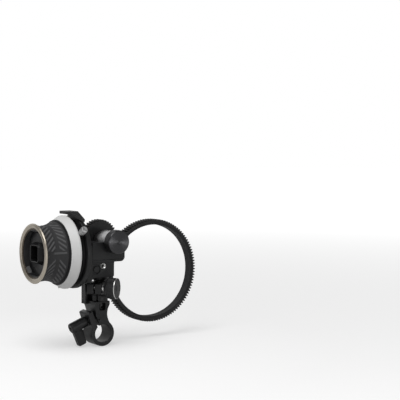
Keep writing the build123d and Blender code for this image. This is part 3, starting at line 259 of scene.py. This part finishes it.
# The material, by its key in MATS, that each CAD node is given.
NODE_MATS = {
    "black_clamp": ["rod_clamp_body", "clamp_lever", "swivel_collar", "swivel_stop_plate"],
    "black_anodised": ["gearbox_housing", "gearbox_base", "side_plate", "stop_hub", "index_pointer"],
    "black_stop": ["stop_ring_a", "stop_ring_b"],
    "black_knob": ["swivel_knob", "gear_lock_knob"],
    "steel": ["clamp_stud", "collar_nut", "swivel_knob_screw", "swivel_washer", "input_shaft",
              "drive_shaft", "gear_drawbar", "wheel_nut", "base_plug", "wheel_stop_pin"],
    "black_steel": ["thread_lock_screw", "lever_end_screw", "stop_plate_screws", "post_foot_screw",
                    "base_screws", "plate_screws", "hub_screws", "pointer_screws", "drive_clips",
                    "swivel_post", "post_bush"],
    "satin_aluminium": ["shaft_sleeve", "stop_screw_a", "stop_screw_b"],
    "champagne": ["bezel_ring"],
    "bronze": ["drive_bush_rear", "drive_bush_front", "input_bush_left", "input_bush_right"],
    "gear_black": ["drive_gear", "lens_gear_ring"],
    "gear_steel": ["input_gear", "output_gear"],
    "grip_rubber": ["rubber_grip"],
    "liner_rubber": ["ring_liner"],
    "white_plastic": ["marking_ring"],
    "dish_black": ["wheel_hub", "crank_socket"],
    "damper_felt": ["damping_washer"],
}
for mat_name, nodes in NODE_MATS.items():
    for node in nodes:
        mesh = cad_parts[node].data
        mesh.materials.clear()
        mesh.materials.append(MATS[mat_name])


# ------------------------------------------------------------------ mesh helpers
def finish_mesh(name, mesh, mat, body, replaced=(), smooth=30.0):
    """Links the mesh as a piece: material, body, and hides the CAD nodes it stands for."""
    piece = bpy.data.objects.new(name, mesh)
    bpy.context.scene.collection.objects.link(piece)
    mesh.materials.clear()
    mesh.materials.append(MATS[mat])
    for face in mesh.polygons:
        face.use_smooth = True
    mesh.set_sharp_from_angle(angle=math.radians(smooth))
    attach(piece, body)
    if replaced:
        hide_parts(*replaced)


def mesh_from(name, verts, faces):
    """A mesh from points in mm, with its normals outward."""
    mesh = bpy.data.meshes.new(name)
    mesh.from_pydata([Vector(v) * MM for v in verts], [], faces)
    bm = bmesh.new()
    bm.from_mesh(mesh)
    bmesh.ops.recalc_face_normals(bm, faces=bm.faces)
    bm.to_mesh(mesh)
    bm.free()
    return mesh


def bridge(a, b):
    """The faces between two closed loops of as many vertex numbers."""
    count = len(a)
    return [(a[k], a[(k + 1) % count], b[(k + 1) % count], b[k]) for k in range(count)]


def about_wheel(angle=0.0):
    return Matrix.Translation((0, AXIS_Y, AXIS_Z)) @ Matrix.Rotation(math.radians(angle), 4, "X")


def upright():
    """Turns local X to +Z."""
    return Matrix.Rotation(math.radians(-90), 4, "Y")


def along_y(x, y, z):
    """Local X runs along +Y."""
    return Matrix.Translation((x, y, z)) @ Matrix.Rotation(math.radians(90), 4, "Z")


def about_lock():
    """Local X runs along the lock screw, out to its knob."""
    x = Vector(LOCK_AXIS)
    z = Vector((0, 0, 1))
    turn = Matrix((x, z.cross(x), z)).transposed().to_4x4()
    return Matrix.Translation(LOCK_CENTRE) @ turn


def fillet_profile(points, steps):
    """Rounds the corners of a closed (x, r, radius) profile."""
    out = []
    for i, (x, r, radius) in enumerate(points):
        if radius <= 0:
            out.append((x, r))
            continue
        p = Vector((x, r))
        a = Vector(points[i - 1][:2]) - p
        b = Vector(points[(i + 1) % len(points)][:2]) - p
        cut = min(radius / math.tan(a.angle(b) / 2), a.length * 0.48, b.length * 0.48)
        start, end = p + a.normalized() * cut, p + b.normalized() * cut
        for k in range(steps + 1):
            t = k / steps
            q = start * (1 - t) ** 2 + p * 2 * t * (1 - t) + end * t ** 2
            out.append((q.x, q.y))
    return out


def lathe(profile, place, segments, shape):
    """Verts and faces of a closed (x, r) profile turned about local X.

    shape(x, r, turn) gives the radius there, for knurls and flats."""
    verts, faces, rings = [], [], []
    for x, r in profile:
        if r < 1e-6:
            rings.append([len(verts)])
            verts.append(place @ Vector((x, 0, 0)))
            continue
        rings.append(list(range(len(verts), len(verts) + segments)))
        for k in range(segments):
            t = 2 * math.pi * k / segments
            radius = shape(x, r, t) if shape else r
            verts.append(place @ Vector((x, -radius * math.sin(t), radius * math.cos(t))))
    for a, b in zip(rings, rings[1:] + rings[:1]):
        if len(a) == 1 and len(b) == 1:
            continue
        for k in range(segments):
            n = (k + 1) % segments
            if len(a) == 1:
                faces.append((a[0], b[k], b[n]))
            elif len(b) == 1:
                faces.append((a[k], a[n], b[0]))
            else:
                faces.append((a[k], a[n], b[n], b[k]))
    return verts, faces


def turned(name, profile, place, mat, body, replaced=(), segments=192, shape=None, smooth=30.0, steps=4):
    verts, faces = lathe(fillet_profile(profile, steps), place, segments, shape)
    finish_mesh(name, mesh_from(name, verts, faces), mat, body, replaced, smooth)


def machined(node, mat, body, width, segments=2):
    """A copy of a CAD solid with its edges broken by a width in mm, in place of the CAD node."""
    bm = bmesh.new()
    bm.from_mesh(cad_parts[node].data)
    bmesh.ops.remove_doubles(bm, verts=bm.verts, dist=2e-6)
    bmesh.ops.dissolve_limit(bm, angle_limit=math.radians(0.6), verts=bm.verts, edges=bm.edges)
    if node == "gearbox_housing":      # its open underside is a ring, which one flat face can't hold
        bmesh.ops.triangulate(bm, faces=[face for face in bm.faces if face.normal.z < -0.99])
    name = node + "_body"
    plain = bpy.data.meshes.new(name)
    bm.to_mesh(plain)
    bm.free()
    piece = bpy.data.objects.new(name, plain)
    bpy.context.scene.collection.objects.link(piece)
    mod = piece.modifiers.new("edges", "BEVEL")
    mod.width = width * MM
    mod.segments = segments
    mod.limit_method = "ANGLE"
    mod.angle_limit = math.radians(32.0)
    mod.use_clamp_overlap = False
    mod.harden_normals = False
    mod.miter_outer = "MITER_ARC"
    graph = bpy.context.evaluated_depsgraph_get()
    result = bpy.data.meshes.new_from_object(piece.evaluated_get(graph))
    bpy.data.objects.remove(piece)
    bpy.data.meshes.remove(plain)
    result.name = name
    finish_mesh(name, result, mat, body, (node,), smooth=26.0)


# ------------------------------------------------------------------ handwheel
GRIP_STEPS = 76                        # steps of the tread along the axis
GRIP_TURNS = 1080                      # points in each row
GRIP_STEP_X = -43.9                    # the tread steps down here, before the marking ring
# (x, r) of the grip's outline
GRIP_KNOTS = [(-61.7, 23.4), (-57.5, 22.35), (-52.3, 22.3), (-47.5, 23.5), (-42.8, 25.9)]
GRIP_GROOVE_R, GRIP_FLANGE_R = 24.25, 26.5
RIDGE_ENDS = {"front": (-60.8, -53.3), "rear": (-50.6, -44.7)}
RIDGE_GROUPS = 4
RIDGES = 7                             # in each group of a row
RIDGE_PITCH = 10.4                     # degrees
RIDGE_SLANT = 2.6                      # degrees for each mm along the axis
RIDGE_HIGH = 0.5                       # from the valley to the crest
RIDGE_RISE, RIDGE_FALL = (0.12, 0.34), (0.60, 0.82)    # its flanks, in shares of the pitch
BAR_ANGLE = 86.0                       # degrees; the other bars follow, one to each group
BAR_ENDS = (-55.2, -44.7)
BAR_FLANK = (1.6, 2.6)                 # degrees from its middle
BAR_ROOM = (4.0, 5.0)                  # the ridges fade in between these degrees from its middle
BAR_HIGH = 0.8                         # share of the ridges' height


def grip_radius(x):
    """Outer radius of the grip: a waist behind the bezel, flaring to the marking ring."""
    for i, ((x0, r0), (x1, r1)) in enumerate(zip(GRIP_KNOTS, GRIP_KNOTS[1:])):
        if x <= x1:
            break
    before = GRIP_KNOTS[max(i - 1, 0)]
    after = GRIP_KNOTS[min(i + 2, len(GRIP_KNOTS) - 1)]
    t = min(max((x - x0) / (x1 - x0), 0.0), 1.0)
    m0 = (r1 - before[1]) / (x1 - before[0]) * (x1 - x0)
    m1 = (after[1] - r0) / (after[0] - x0) * (x1 - x0)
    return ((2 * t ** 3 - 3 * t ** 2 + 1) * r0 + (t ** 3 - 2 * t ** 2 + t) * m0
            + (-2 * t ** 3 + 3 * t ** 2) * r1 + (t ** 3 - t ** 2) * m1)


def soft_step(value, low, high):
    """0 up to low, 1 from high, and a smooth rise between."""
    t = min(max((value - low) / (high - low), 0.0), 1.0)
    return t * t * (3 - 2 * t)


def between(x, ends, soft=0.5):
    """1 between two ends and 0 outside them, with soft edges of so many mm."""
    return soft_step(x, ends[0], ends[0] + soft) * (1 - soft_step(x, ends[1] - soft, ends[1]))


def ridge_height(x, degrees):
    """Tread of the grip, 0 to 1: two rows of slanted ridges in groups, smooth panels and bars."""
    if x < WAIST_X:
        ends = RIDGE_ENDS["front"]
        slant = degrees + RIDGE_SLANT * (x - ends[1])
    else:
        ends = RIDGE_ENDS["rear"]
        slant = degrees - RIDGE_SLANT * (x - ends[0])
    period = 360.0 / RIDGE_GROUPS
    inside = (slant - BAR_ANGLE) % period - (period - RIDGES * RIDGE_PITCH) / 2
    ridge = 0.0
    if 0 < inside < RIDGES * RIDGE_PITCH:
        phase = (inside / RIDGE_PITCH) % 1.0
        ridge = soft_step(phase, *RIDGE_RISE) * (1 - soft_step(phase, *RIDGE_FALL))
    off_bar = abs((degrees - BAR_ANGLE + period / 2) % period - period / 2)
    bar = (1 - soft_step(off_bar, *BAR_FLANK)) * between(x, BAR_ENDS)
    clear = soft_step(off_bar, *BAR_ROOM)
    return max(ridge * clear * between(x, ends), BAR_HIGH * bar)


def rubber_grip():
    """The tread, row by row, then the groove, the flange and the inside, which have a plain radius."""
    front, rear = GRIP_FRONT_X + 0.05, GRIP_REAR_X - SKIN
    rows = [(front + (GRIP_STEP_X - front) * i / GRIP_STEPS, None) for i in range(GRIP_STEPS + 1)]
    rows += [(GRIP_STEP_X + 0.12, 24.9), (GRIP_STEP_X + 0.25, 24.4), (GRIP_STEP_X + 0.45, GRIP_GROOVE_R),
             (GRIP_REAR_X - 0.35, GRIP_GROOVE_R), (GRIP_REAR_X - 0.28, 26.2),
             (GRIP_REAR_X - 0.16, GRIP_FLANGE_R), (rear, GRIP_FLANGE_R), (rear, 23.8),
             (WAIST_X, 20.2), (front, 21.3)]
    verts, tread = [], []
    for x, r in rows:
        for k in range(GRIP_TURNS):
            degrees = 360.0 * k / GRIP_TURNS
            t = math.radians(degrees)
            # Tread height is also the mask of the painted valley shade; rows with a plain radius get 0,
            # so the groove, flange and inside take that painted shade all over.
            height = ridge_height(x, degrees) if r is None else 0.0
            radius = grip_radius(x) - RIDGE_HIGH / 2 + RIDGE_HIGH * height if r is None else r
            verts.append((x, AXIS_Y - radius * math.sin(t), AXIS_Z + radius * math.cos(t)))
            tread.append(height)
    loops = [range(i * GRIP_TURNS, (i + 1) * GRIP_TURNS) for i in range(len(rows))]
    faces = [face for a, b in zip(loops, loops[1:] + loops[:1]) for face in bridge(a, b)]
    mesh = mesh_from("grip_tread", verts, faces)
    mesh.attributes.new("tread", "FLOAT", "POINT").data.foreach_set("value", tread)
    finish_mesh("grip_tread", mesh, "grip_rubber", "handwheel", ("rubber_grip",), 50)


DISH_CORNER = 0.30                     # share of the square's half side that each cut corner takes


def dish_wall(x, r, t):
    """The radius of the dish: a square with cut corners at the floor's edge, round elsewhere."""
    if not (x < DISH_FLOOR_X + 0.5 and 9.0 < r < 18.0):
        return r
    a = (t + math.pi / 4) % (math.pi / 2) - math.pi / 4
    flat = 1 / max(math.cos(a), 1e-6)
    b = math.pi / 4 - abs(a)
    cut = (2 - DISH_CORNER) / math.sqrt(2) / max(math.cos(b), 1e-6)
    return r * min(flat, cut)


def wheel_dish():
    bottom, rim, rear = DISH_FLOOR_X + SKIN, GRIP_FRONT_X + SKIN, RIM_X - 1.0
    inner = DISH_FLOOR_X + 5.0         # the hub is hollow from here to its rear face
    profile = [
        (bottom + 0.2, 8.3, 0), (bottom, 8.8, 0), (bottom, 16.3, 0.3), (rim + 0.5, 17.6, 0.1),
        (rim, 17.9, 0), (rim, 19.18, 0), (rim, 21.15, 0.1), (WAIST_X, 20.05, 0.4),
        (GRIP_REAR_X - SKIN, 23.65, 0.1), (GRIP_REAR_X - SKIN, HUB_R, 0.1), (rear, HUB_R, 0.4),
        (rear, 17.5, 0.4), (inner, 15.0, 0.8), (inner, 7.0, 0.3), (rear, 7.0, 0.3),
        (rear, 2.55, 0.1), (DISH_FLOOR_X + 3.15, 2.55, 0), (DISH_FLOOR_X + 3.15, 8.3, 0)]
    turned("wheel_dish", profile, about_wheel(), "dish_black", "handwheel", ("wheel_hub",), 256,
           dish_wall, 22)


def octagon_loops(name, loops, mat, replaced=()):
    """A solid through eight-sided loops of (x, half width, share of it cut at each corner)."""
    verts = []
    for x, half, corner in loops:
        short = half - half * corner
        ring = [(half, -short), (half, short), (short, half), (-short, half), (-half, short),
                (-half, -short), (-short, -half), (short, -half)]
        verts += [(x, AXIS_Y + y, AXIS_Z + z) for y, z in ring]
    rings = [range(i * 8, i * 8 + 8) for i in range(len(loops))]
    faces = [face for a, b in zip(rings, rings[1:]) for face in bridge(a, b)]
    faces += [tuple(rings[0]), tuple(rings[-1])]
    finish_mesh(name, mesh_from(name, verts, faces), mat, "handwheel", replaced, 20)


def crank_socket():
    """A square pocket in a boss with four broad facets and cut corners."""
    side, face = 6.1, SOCKET_FACE_X + SKIN
    octagon_loops("socket_insert", [
        (DISH_FLOOR_X + 2.0, 7.8, 0.36), (DISH_FLOOR_X + 0.3, 8.1, 0.36), (DISH_FLOOR_X, 8.9, 0.34),
        (face + 0.25, 7.15, 0.24), (face, 6.95, 0.24), (face, 6.5, 0.22), (face + 0.3, side + 0.05, 0.2),
        (DISH_FLOOR_X + 1.7, side + 0.05, 0.2)], "dish_black", ("crank_socket",))
    # The lining of the square hole takes the painted shade black.
    octagon_loops("socket_pocket", [
        (DISH_FLOOR_X + 1.68, side + 0.5, 0.2), (face + 0.4, side + 0.5, 0.2),
        (face + 0.35, side + 0.04, 0.2), (face + 0.5, side, 0.2), (face + 5.5, side, 0.2),
        (face + 5.6, side - 0.2, 0.2)], "pocket_painted_shade")


def wheel():
    rubber_grip()
    wheel_dish()
    crank_socket()
    front, lip_r, bead_r = GRIP_FRONT_X - SKIN, 20.25, 20.3
    turned("bezel_trim", [
        (front, bead_r, 0.05), (BEZEL_FACE_X + 1.0, bead_r, 0.2), (BEZEL_FACE_X + 0.35, 21.1, 0.6),
        (BEZEL_FACE_X + SKIN, 22.2, 1.2), (BEZEL_FACE_X + 0.35, 23.5, 1.0),
        (BEZEL_FACE_X + 1.3, 24.28, 0.5), (front, 24.1, 0.2)],
        about_wheel(), "champagne", "handwheel", ("bezel_ring",), 256, steps=6)
    # The bezel's inner lip, dark brown: painted shade at the inner edge of the rounded bead.
    turned("bezel_lip", [
        (front, 19.22, 0.05), (BEZEL_FACE_X + 1.6, 19.22, 0.1), (BEZEL_FACE_X + 0.85, lip_r, 0.1),
        (front, lip_r, 0.05)],
        about_wheel(), "bezel_lip_painted_shade", "handwheel", (), 256)
    front, rear, bore, step = GRIP_REAR_X + SKIN, RIM_X - SKIN, HUB_R + 0.07, RIM_X - 0.98
    turned("marking_band", [
        (front, bore, 0.1), (front, GRIP_FLANGE_R, 0.2), (RIM_X - 1.6, MARK_R, 0.5),
        (rear, MARK_R, 0.45), (rear, 26.65, 0.2), (step, 26.65, 0.1), (step, bore, 0.1)],
        about_wheel(), "white_plastic", "handwheel", ("marking_ring",), 256)


# ------------------------------------------------------------------ stops, pointer, knobs
def knurl(x0, x1, count, depth):
    """Straight knurling on the outside between x0 and x1."""
    def shape(x, r, t):
        return r - depth * (0.5 + 0.5 * math.cos(count * t)) if x0 <= x <= x1 else r
    return shape


def barrel(x0, x1, r, rows):
    """The knurled length of a knob, in rows that the knurling bends."""
    return [(x0 + (x1 - x0) * i / rows, r, 0) for i in range(rows + 1)]


def thumbscrew(name, angle, x, node, body):
    place = about_wheel(angle) @ Matrix.Translation((x, 0, 0)) @ upright()
    low, stem_top, top = 27.62, 30.42, 37.36
    stem_r, head_r = 0.95, 2.8
    profile = [(low, 0, 0), (low, stem_r, 0.1), (stem_top, stem_r, 0), (stem_top, 2.2, 0.2),
               (30.9, head_r, 0.1), (33.0, head_r, 0), (36.4, head_r, 0), (36.95, 2.45, 0.15),
               (top, 2.1, 0.15), (top, 1.1, 0.1), (37.1, 0.9, 0.1), (37.1, 0, 0)]
    turned(name, profile, place, "satin_aluminium", body, (node,), 144, knurl(30.8, 36.5, 18, 0.34), 40)


def gear_knob():
    near, far, r, bore = -26.58, -17.82, 9.75, 1.32
    profile = [(near + 0.35, 0, 0), (near + 0.3, 1.6, 0.2), (near + SKIN, 2.1, 0.2),
               (near + SKIN, 9.0, 0.2), (near + 0.6, r, 0.25)]
    profile += barrel(near + 0.8, far - 1.1, r, 10)
    profile += [(far - 1.0, 9.3, 0.2), (far - SKIN, 8.6, 0.3), (far - SKIN, bore, 0.1),
                (near + 3.0, bore, 0), (near + 3.0, 0, 0)]
    turned("gear_knob_turned", profile, along_y(DRIVE_X, 0, DRIVE_Z), "knob_face", "gear_knob",
           ("gear_lock_knob",), 288, knurl(near + 0.75, far - 1.05, 72, 0.22), 35)


def swivel_knob():
    x0, x1, r, bore = 8.5, 18.7, 8.56, 2.02
    recess, face = x1 - 0.3, x1 - SKIN
    profile = [(x0 + SKIN, bore, 0), (x0 + SKIN, 5.7, 0.4), (x0 + 2.4, 8.2, 0.5)]
    profile += barrel(x0 + 2.9, x1 - 1.0, r, 8)
    profile += [(x1 - 0.62, 8.5, 0), (recess, 8.25, 0.1), (recess, 2.6, 0.2), (face, 2.2, 0.1),
                (face, 0, 0), (x1 - 3.0, 0, 0), (x1 - 3.0, bore, 0)]
    turned("swivel_knob_turned", profile, about_lock(), "black_knob", "swivel_lock", ("swivel_knob",),
           240, knurl(x0 + 2.85, x1 - 0.95, 60, 0.2), 35)
    # A bright steel ring round the knob's face edge: painted highlight for the glint on the black knob's
    # chamfer.
    lip = [(x1 - 0.62, 8.60, 0.05), (face, 8.5, 0.08), (face, 8.27, 0.05), (x1 - 0.62, 8.27, 0)]
    turned("swivel_knob_painted_glint", lip, about_lock(), "steel", "swivel_lock", (), 240)


def washer_disc():
    bore = 2.03
    disc = [(6.42, bore, 0), (6.42, 3.7, 0.2), (8.2, 3.9, 0.3), (8.48, 3.6, 0.1), (8.48, bore, 0)]
    turned("washer_disc", disc, about_lock(), "steel", "swivel_lock", ("swivel_washer",), 96)


def post_shoulder_ring():
    """The post's thick shoulder, close under the gearbox's bottom block."""
    low, high, bore, r = 44.7, 47.98, 5.2, 7.2
    ring = [(low, bore, 0), (low, 6.6, 0.3), (45.3, r, 0.3), (high, r, 0.2), (high, bore, 0)]
    turned("post_shoulder_ring", ring, Matrix.Translation((0, POST_Y, 0)) @ upright(), "black_anodised",
           "gearbox", (), 128)


def collar_rib():
    """A flat rib with cut corners on the riser, behind the collar."""
    outline = [(-7.5, 26.9), (3.2, 26.9), (3.2, 38.6), (1.8, 40.0), (-6.1, 40.0), (-7.5, 38.6)]
    verts = [(x, y, z) for y in (7.3, 9.3) for x, z in outline]
    near, far = (0, 1, 2, 3, 4, 5), (6, 7, 8, 9, 10, 11)
    faces = [near, far[::-1]] + bridge(near, far)
    finish_mesh("collar_rib", mesh_from("collar_rib", verts, faces), "black_clamp", "base")


def blanking_screw():
    """A bright countersunk rim with a dark screw in it."""
    place = along_y(PLUG_X, BLOCK_NEAR, PLUG_Z)
    outer, inner, r = 2.27, 1.25, 1.24
    rim = [(1.0, inner, 0), (0.1, 2.1, 0.1), (0.1, outer, 0), (1.58, outer, 0.1), (1.58, inner, 0)]
    turned("plug_rim", rim, place, "steel", "gearbox", ("base_plug",), 96)
    face = [(1.3, 0, 0), (1.3, 0.7, 0.1), (1.02, 0.9, 0.1), (1.02, r, 0), (1.55, r, 0), (1.55, 0, 0)]
    turned("plug_face", face, place, "black_steel", "gearbox", (), 96)


# CAD solids with broken edges: node, material, body, width of the bevel in mm, and its segments
# The stop rings take the painted shade black.
STOP_PARTS = [
    ("stop_ring_a", "black_stop", "stop_a", 0.3),
    ("stop_ring_b", "black_stop", "stop_b", 0.3),
]
POINTER_PARTS = [
    ("index_pointer", "black_anodised", "gearbox", 0.3),
    ("stop_hub", "black_anodised", "gearbox", 0.3),
]
OTHER_PARTS = [
    ("gearbox_housing", "black_anodised", "gearbox", 0.2),
    ("gearbox_base", "black_anodised", "gearbox", 0.3),
    ("side_plate", "black_anodised", "gearbox", 0.35),
    ("rod_clamp_body", "black_clamp", "base", 0.45),
    ("swivel_collar", "black_clamp", "base", 0.25),
    ("clamp_lever", "black_clamp", "clamp_handle", 0.4),
    ("swivel_stop_plate", "black_clamp", "base", 0.12),
    ("drive_gear", "gear_black", "drive", 0.12, 1),
    ("lens_gear_ring", "gear_black", "lens_ring", 0.12, 1),
]

wheel()
for part in STOP_PARTS:
    machined(*part)
thumbscrew("thumb_a", 56.0, -32.6, "stop_screw_a", "stop_a_screw")
thumbscrew("thumb_b", -54.0, -31.1, "stop_screw_b", "stop_b_screw")
for part in POINTER_PARTS:
    machined(*part)
gear_knob()
swivel_knob()
washer_disc()
post_shoulder_ring()
collar_rib()
blanking_screw()
for part in OTHER_PARTS:
    machined(*part)

# ------------------------------------------------------------------ floor, light and camera
ROOM_LIGHT = 0.27                      # grey level of the room
BACKDROP = (0.05, 0.97, 0.22)          # the way from the object to the middle of the backdrop
BACKDROP_EDGE = (0.74, 0.96)           # it fades in between these cosines from its middle
FLOOR_HALF = 6.0                       # half the floor's side, in metres
FLOOR_DROP = 0.0003                    # how far the floor keeps under the object
FLOOR_WHITE = (0.50, 0.87)             # the floor's own white, near the object and far away
FLOOR_WHITE_AT = (0.2, 1.4)            # the distances that these hold for, in metres
FLOOR_IN_GLOSS = 0.6                   # share of that white that reflections see
LAMPS = [                              # name, place, width, height, watts
    ("key", (-0.35, -0.25, 0.80), 0.6, 0.6, 5.0),
    ("left", (-0.78, -0.42, 0.02), 0.35, 0.5, 1.0),
    ("right", (0.45, -0.80, 0.40), 0.5, 0.5, 0.2),
    ("front", (0.08, -1.08, 0.04), 0.62, 0.10, 1.7),
]
LAMP_TARGET = (0, 0, 0.05)
CAMERA_PLACE = (-0.43873, -0.76165, 0.1550)
CAMERA_RIGHT = (0.81485, -0.57962, 0.00807)
CAMERA_UP = (0.02207, 0.04494, 0.99875)
CAMERA_AHEAD = (0.57928, 0.81364, -0.04941)
CAMERA_LENS, CAMERA_SENSOR = 94.5, 36.0


def tree_math(tree, operation, a, b):
    return add_node(tree, "ShaderNodeMath", {0: a, 1: b}, operation=operation).outputs[0]


def seen_directly(tree, glossy):
    """1 for rays from the camera and through glass, and the given share for reflections."""
    path = add_node(tree, "ShaderNodeLightPath").outputs
    value = tree_math(tree, "MULTIPLY", path["Is Glossy Ray"], glossy)
    for kind in ("Is Camera Ray", "Is Transmission Ray"):
        value = tree_math(tree, "MAXIMUM", value, path[kind])
    return value


def white_floor(m):
    """Pale paper that shows as a white background, a little brighter far away, and keeps the shadow."""
    radius = m.vector("LENGTH", m.coord, output="Value")
    strength = m.remap(radius, *FLOOR_WHITE_AT, *FLOOR_WHITE)
    seen = m.math("MULTIPLY", strength, seen_directly(m.tree, FLOOR_IN_GLOSS))
    emit = m.add("ShaderNodeEmission", {"Strength": seen})
    both = m.add("ShaderNodeAddShader", {0: m.bsdf.outputs[0], 1: emit.outputs[0]})
    m.tree.links.new(both.outputs[0], m.tree.nodes["Material Output"].inputs["Surface"])


def studio_world():
    """An even grey room with a white backdrop behind the object, which gloss and glass show too."""
    world = bpy.data.worlds.new("studio")
    bpy.context.scene.world = world
    world.use_nodes = True
    tree = world.node_tree
    way = add_node(tree, "ShaderNodeTexCoord").outputs["Generated"]
    dot = add_node(tree, "ShaderNodeVectorMath", {0: way, 1: BACKDROP}, operation="DOT_PRODUCT")
    behind = add_node(tree, "ShaderNodeMapRange", {
        "Value": dot.outputs["Value"], "From Min": BACKDROP_EDGE[0], "From Max": BACKDROP_EDGE[1]},
        interpolation_type="SMOOTHSTEP").outputs[0]
    path = add_node(tree, "ShaderNodeLightPath").outputs
    gloss = tree_math(tree, "MULTIPLY", behind, path["Is Glossy Ray"])
    white = tree_math(tree, "MAXIMUM", gloss, seen_directly(tree, 0.0))
    level = add_node(tree, "ShaderNodeMapRange", {"Value": white, "To Min": ROOM_LIGHT, "To Max": 1.0})
    back = tree.nodes["Background"]
    back.inputs["Color"].default_value = (1, 1, 1, 1)
    tree.links.new(level.outputs[0], back.inputs["Strength"])


def studio_floor():
    z, s = cad_box[0].z - FLOOR_DROP, FLOOR_HALF
    mesh = bpy.data.meshes.new("floor")
    mesh.from_pydata([(-s, -s, z), (s, -s, z), (s, s, z), (-s, s, z)], [], [(0, 1, 2, 3)])
    floor = bpy.data.objects.new("floor", mesh)
    bpy.context.scene.collection.objects.link(floor)
    m = Mat("floor_paper", (0.55, 0.55, 0.55), 0.9, 0.0, 0.0)
    white_floor(m)
    mesh.materials.append(m.mat)


def lamp(name, place, width, height, watts):
    data = bpy.data.lights.new(name, "AREA")
    data.shape = "RECTANGLE"
    data.size, data.size_y = width, height
    data.energy = watts
    piece = bpy.data.objects.new(name, data)
    piece.location = place
    piece.rotation_euler = (Vector(LAMP_TARGET) - Vector(place)).to_track_quat("-Z", "Y").to_euler()
    bpy.context.scene.collection.objects.link(piece)


def camera():
    turn = Matrix((Vector(CAMERA_RIGHT), Vector(CAMERA_UP), -Vector(CAMERA_AHEAD))).transposed()
    data = bpy.data.cameras.new("camera")
    data.sensor_width = CAMERA_SENSOR
    data.lens = CAMERA_LENS
    data.clip_start = 0.01
    piece = bpy.data.objects.new("camera", data)
    piece.matrix_world = Matrix.Translation(CAMERA_PLACE) @ turn.to_4x4()
    bpy.context.scene.collection.objects.link(piece)
    bpy.context.scene.camera = piece


studio_floor()
studio_world()
for row in LAMPS:
    lamp(*row)
camera()
bpy.context.scene.view_settings.view_transform = "Standard"
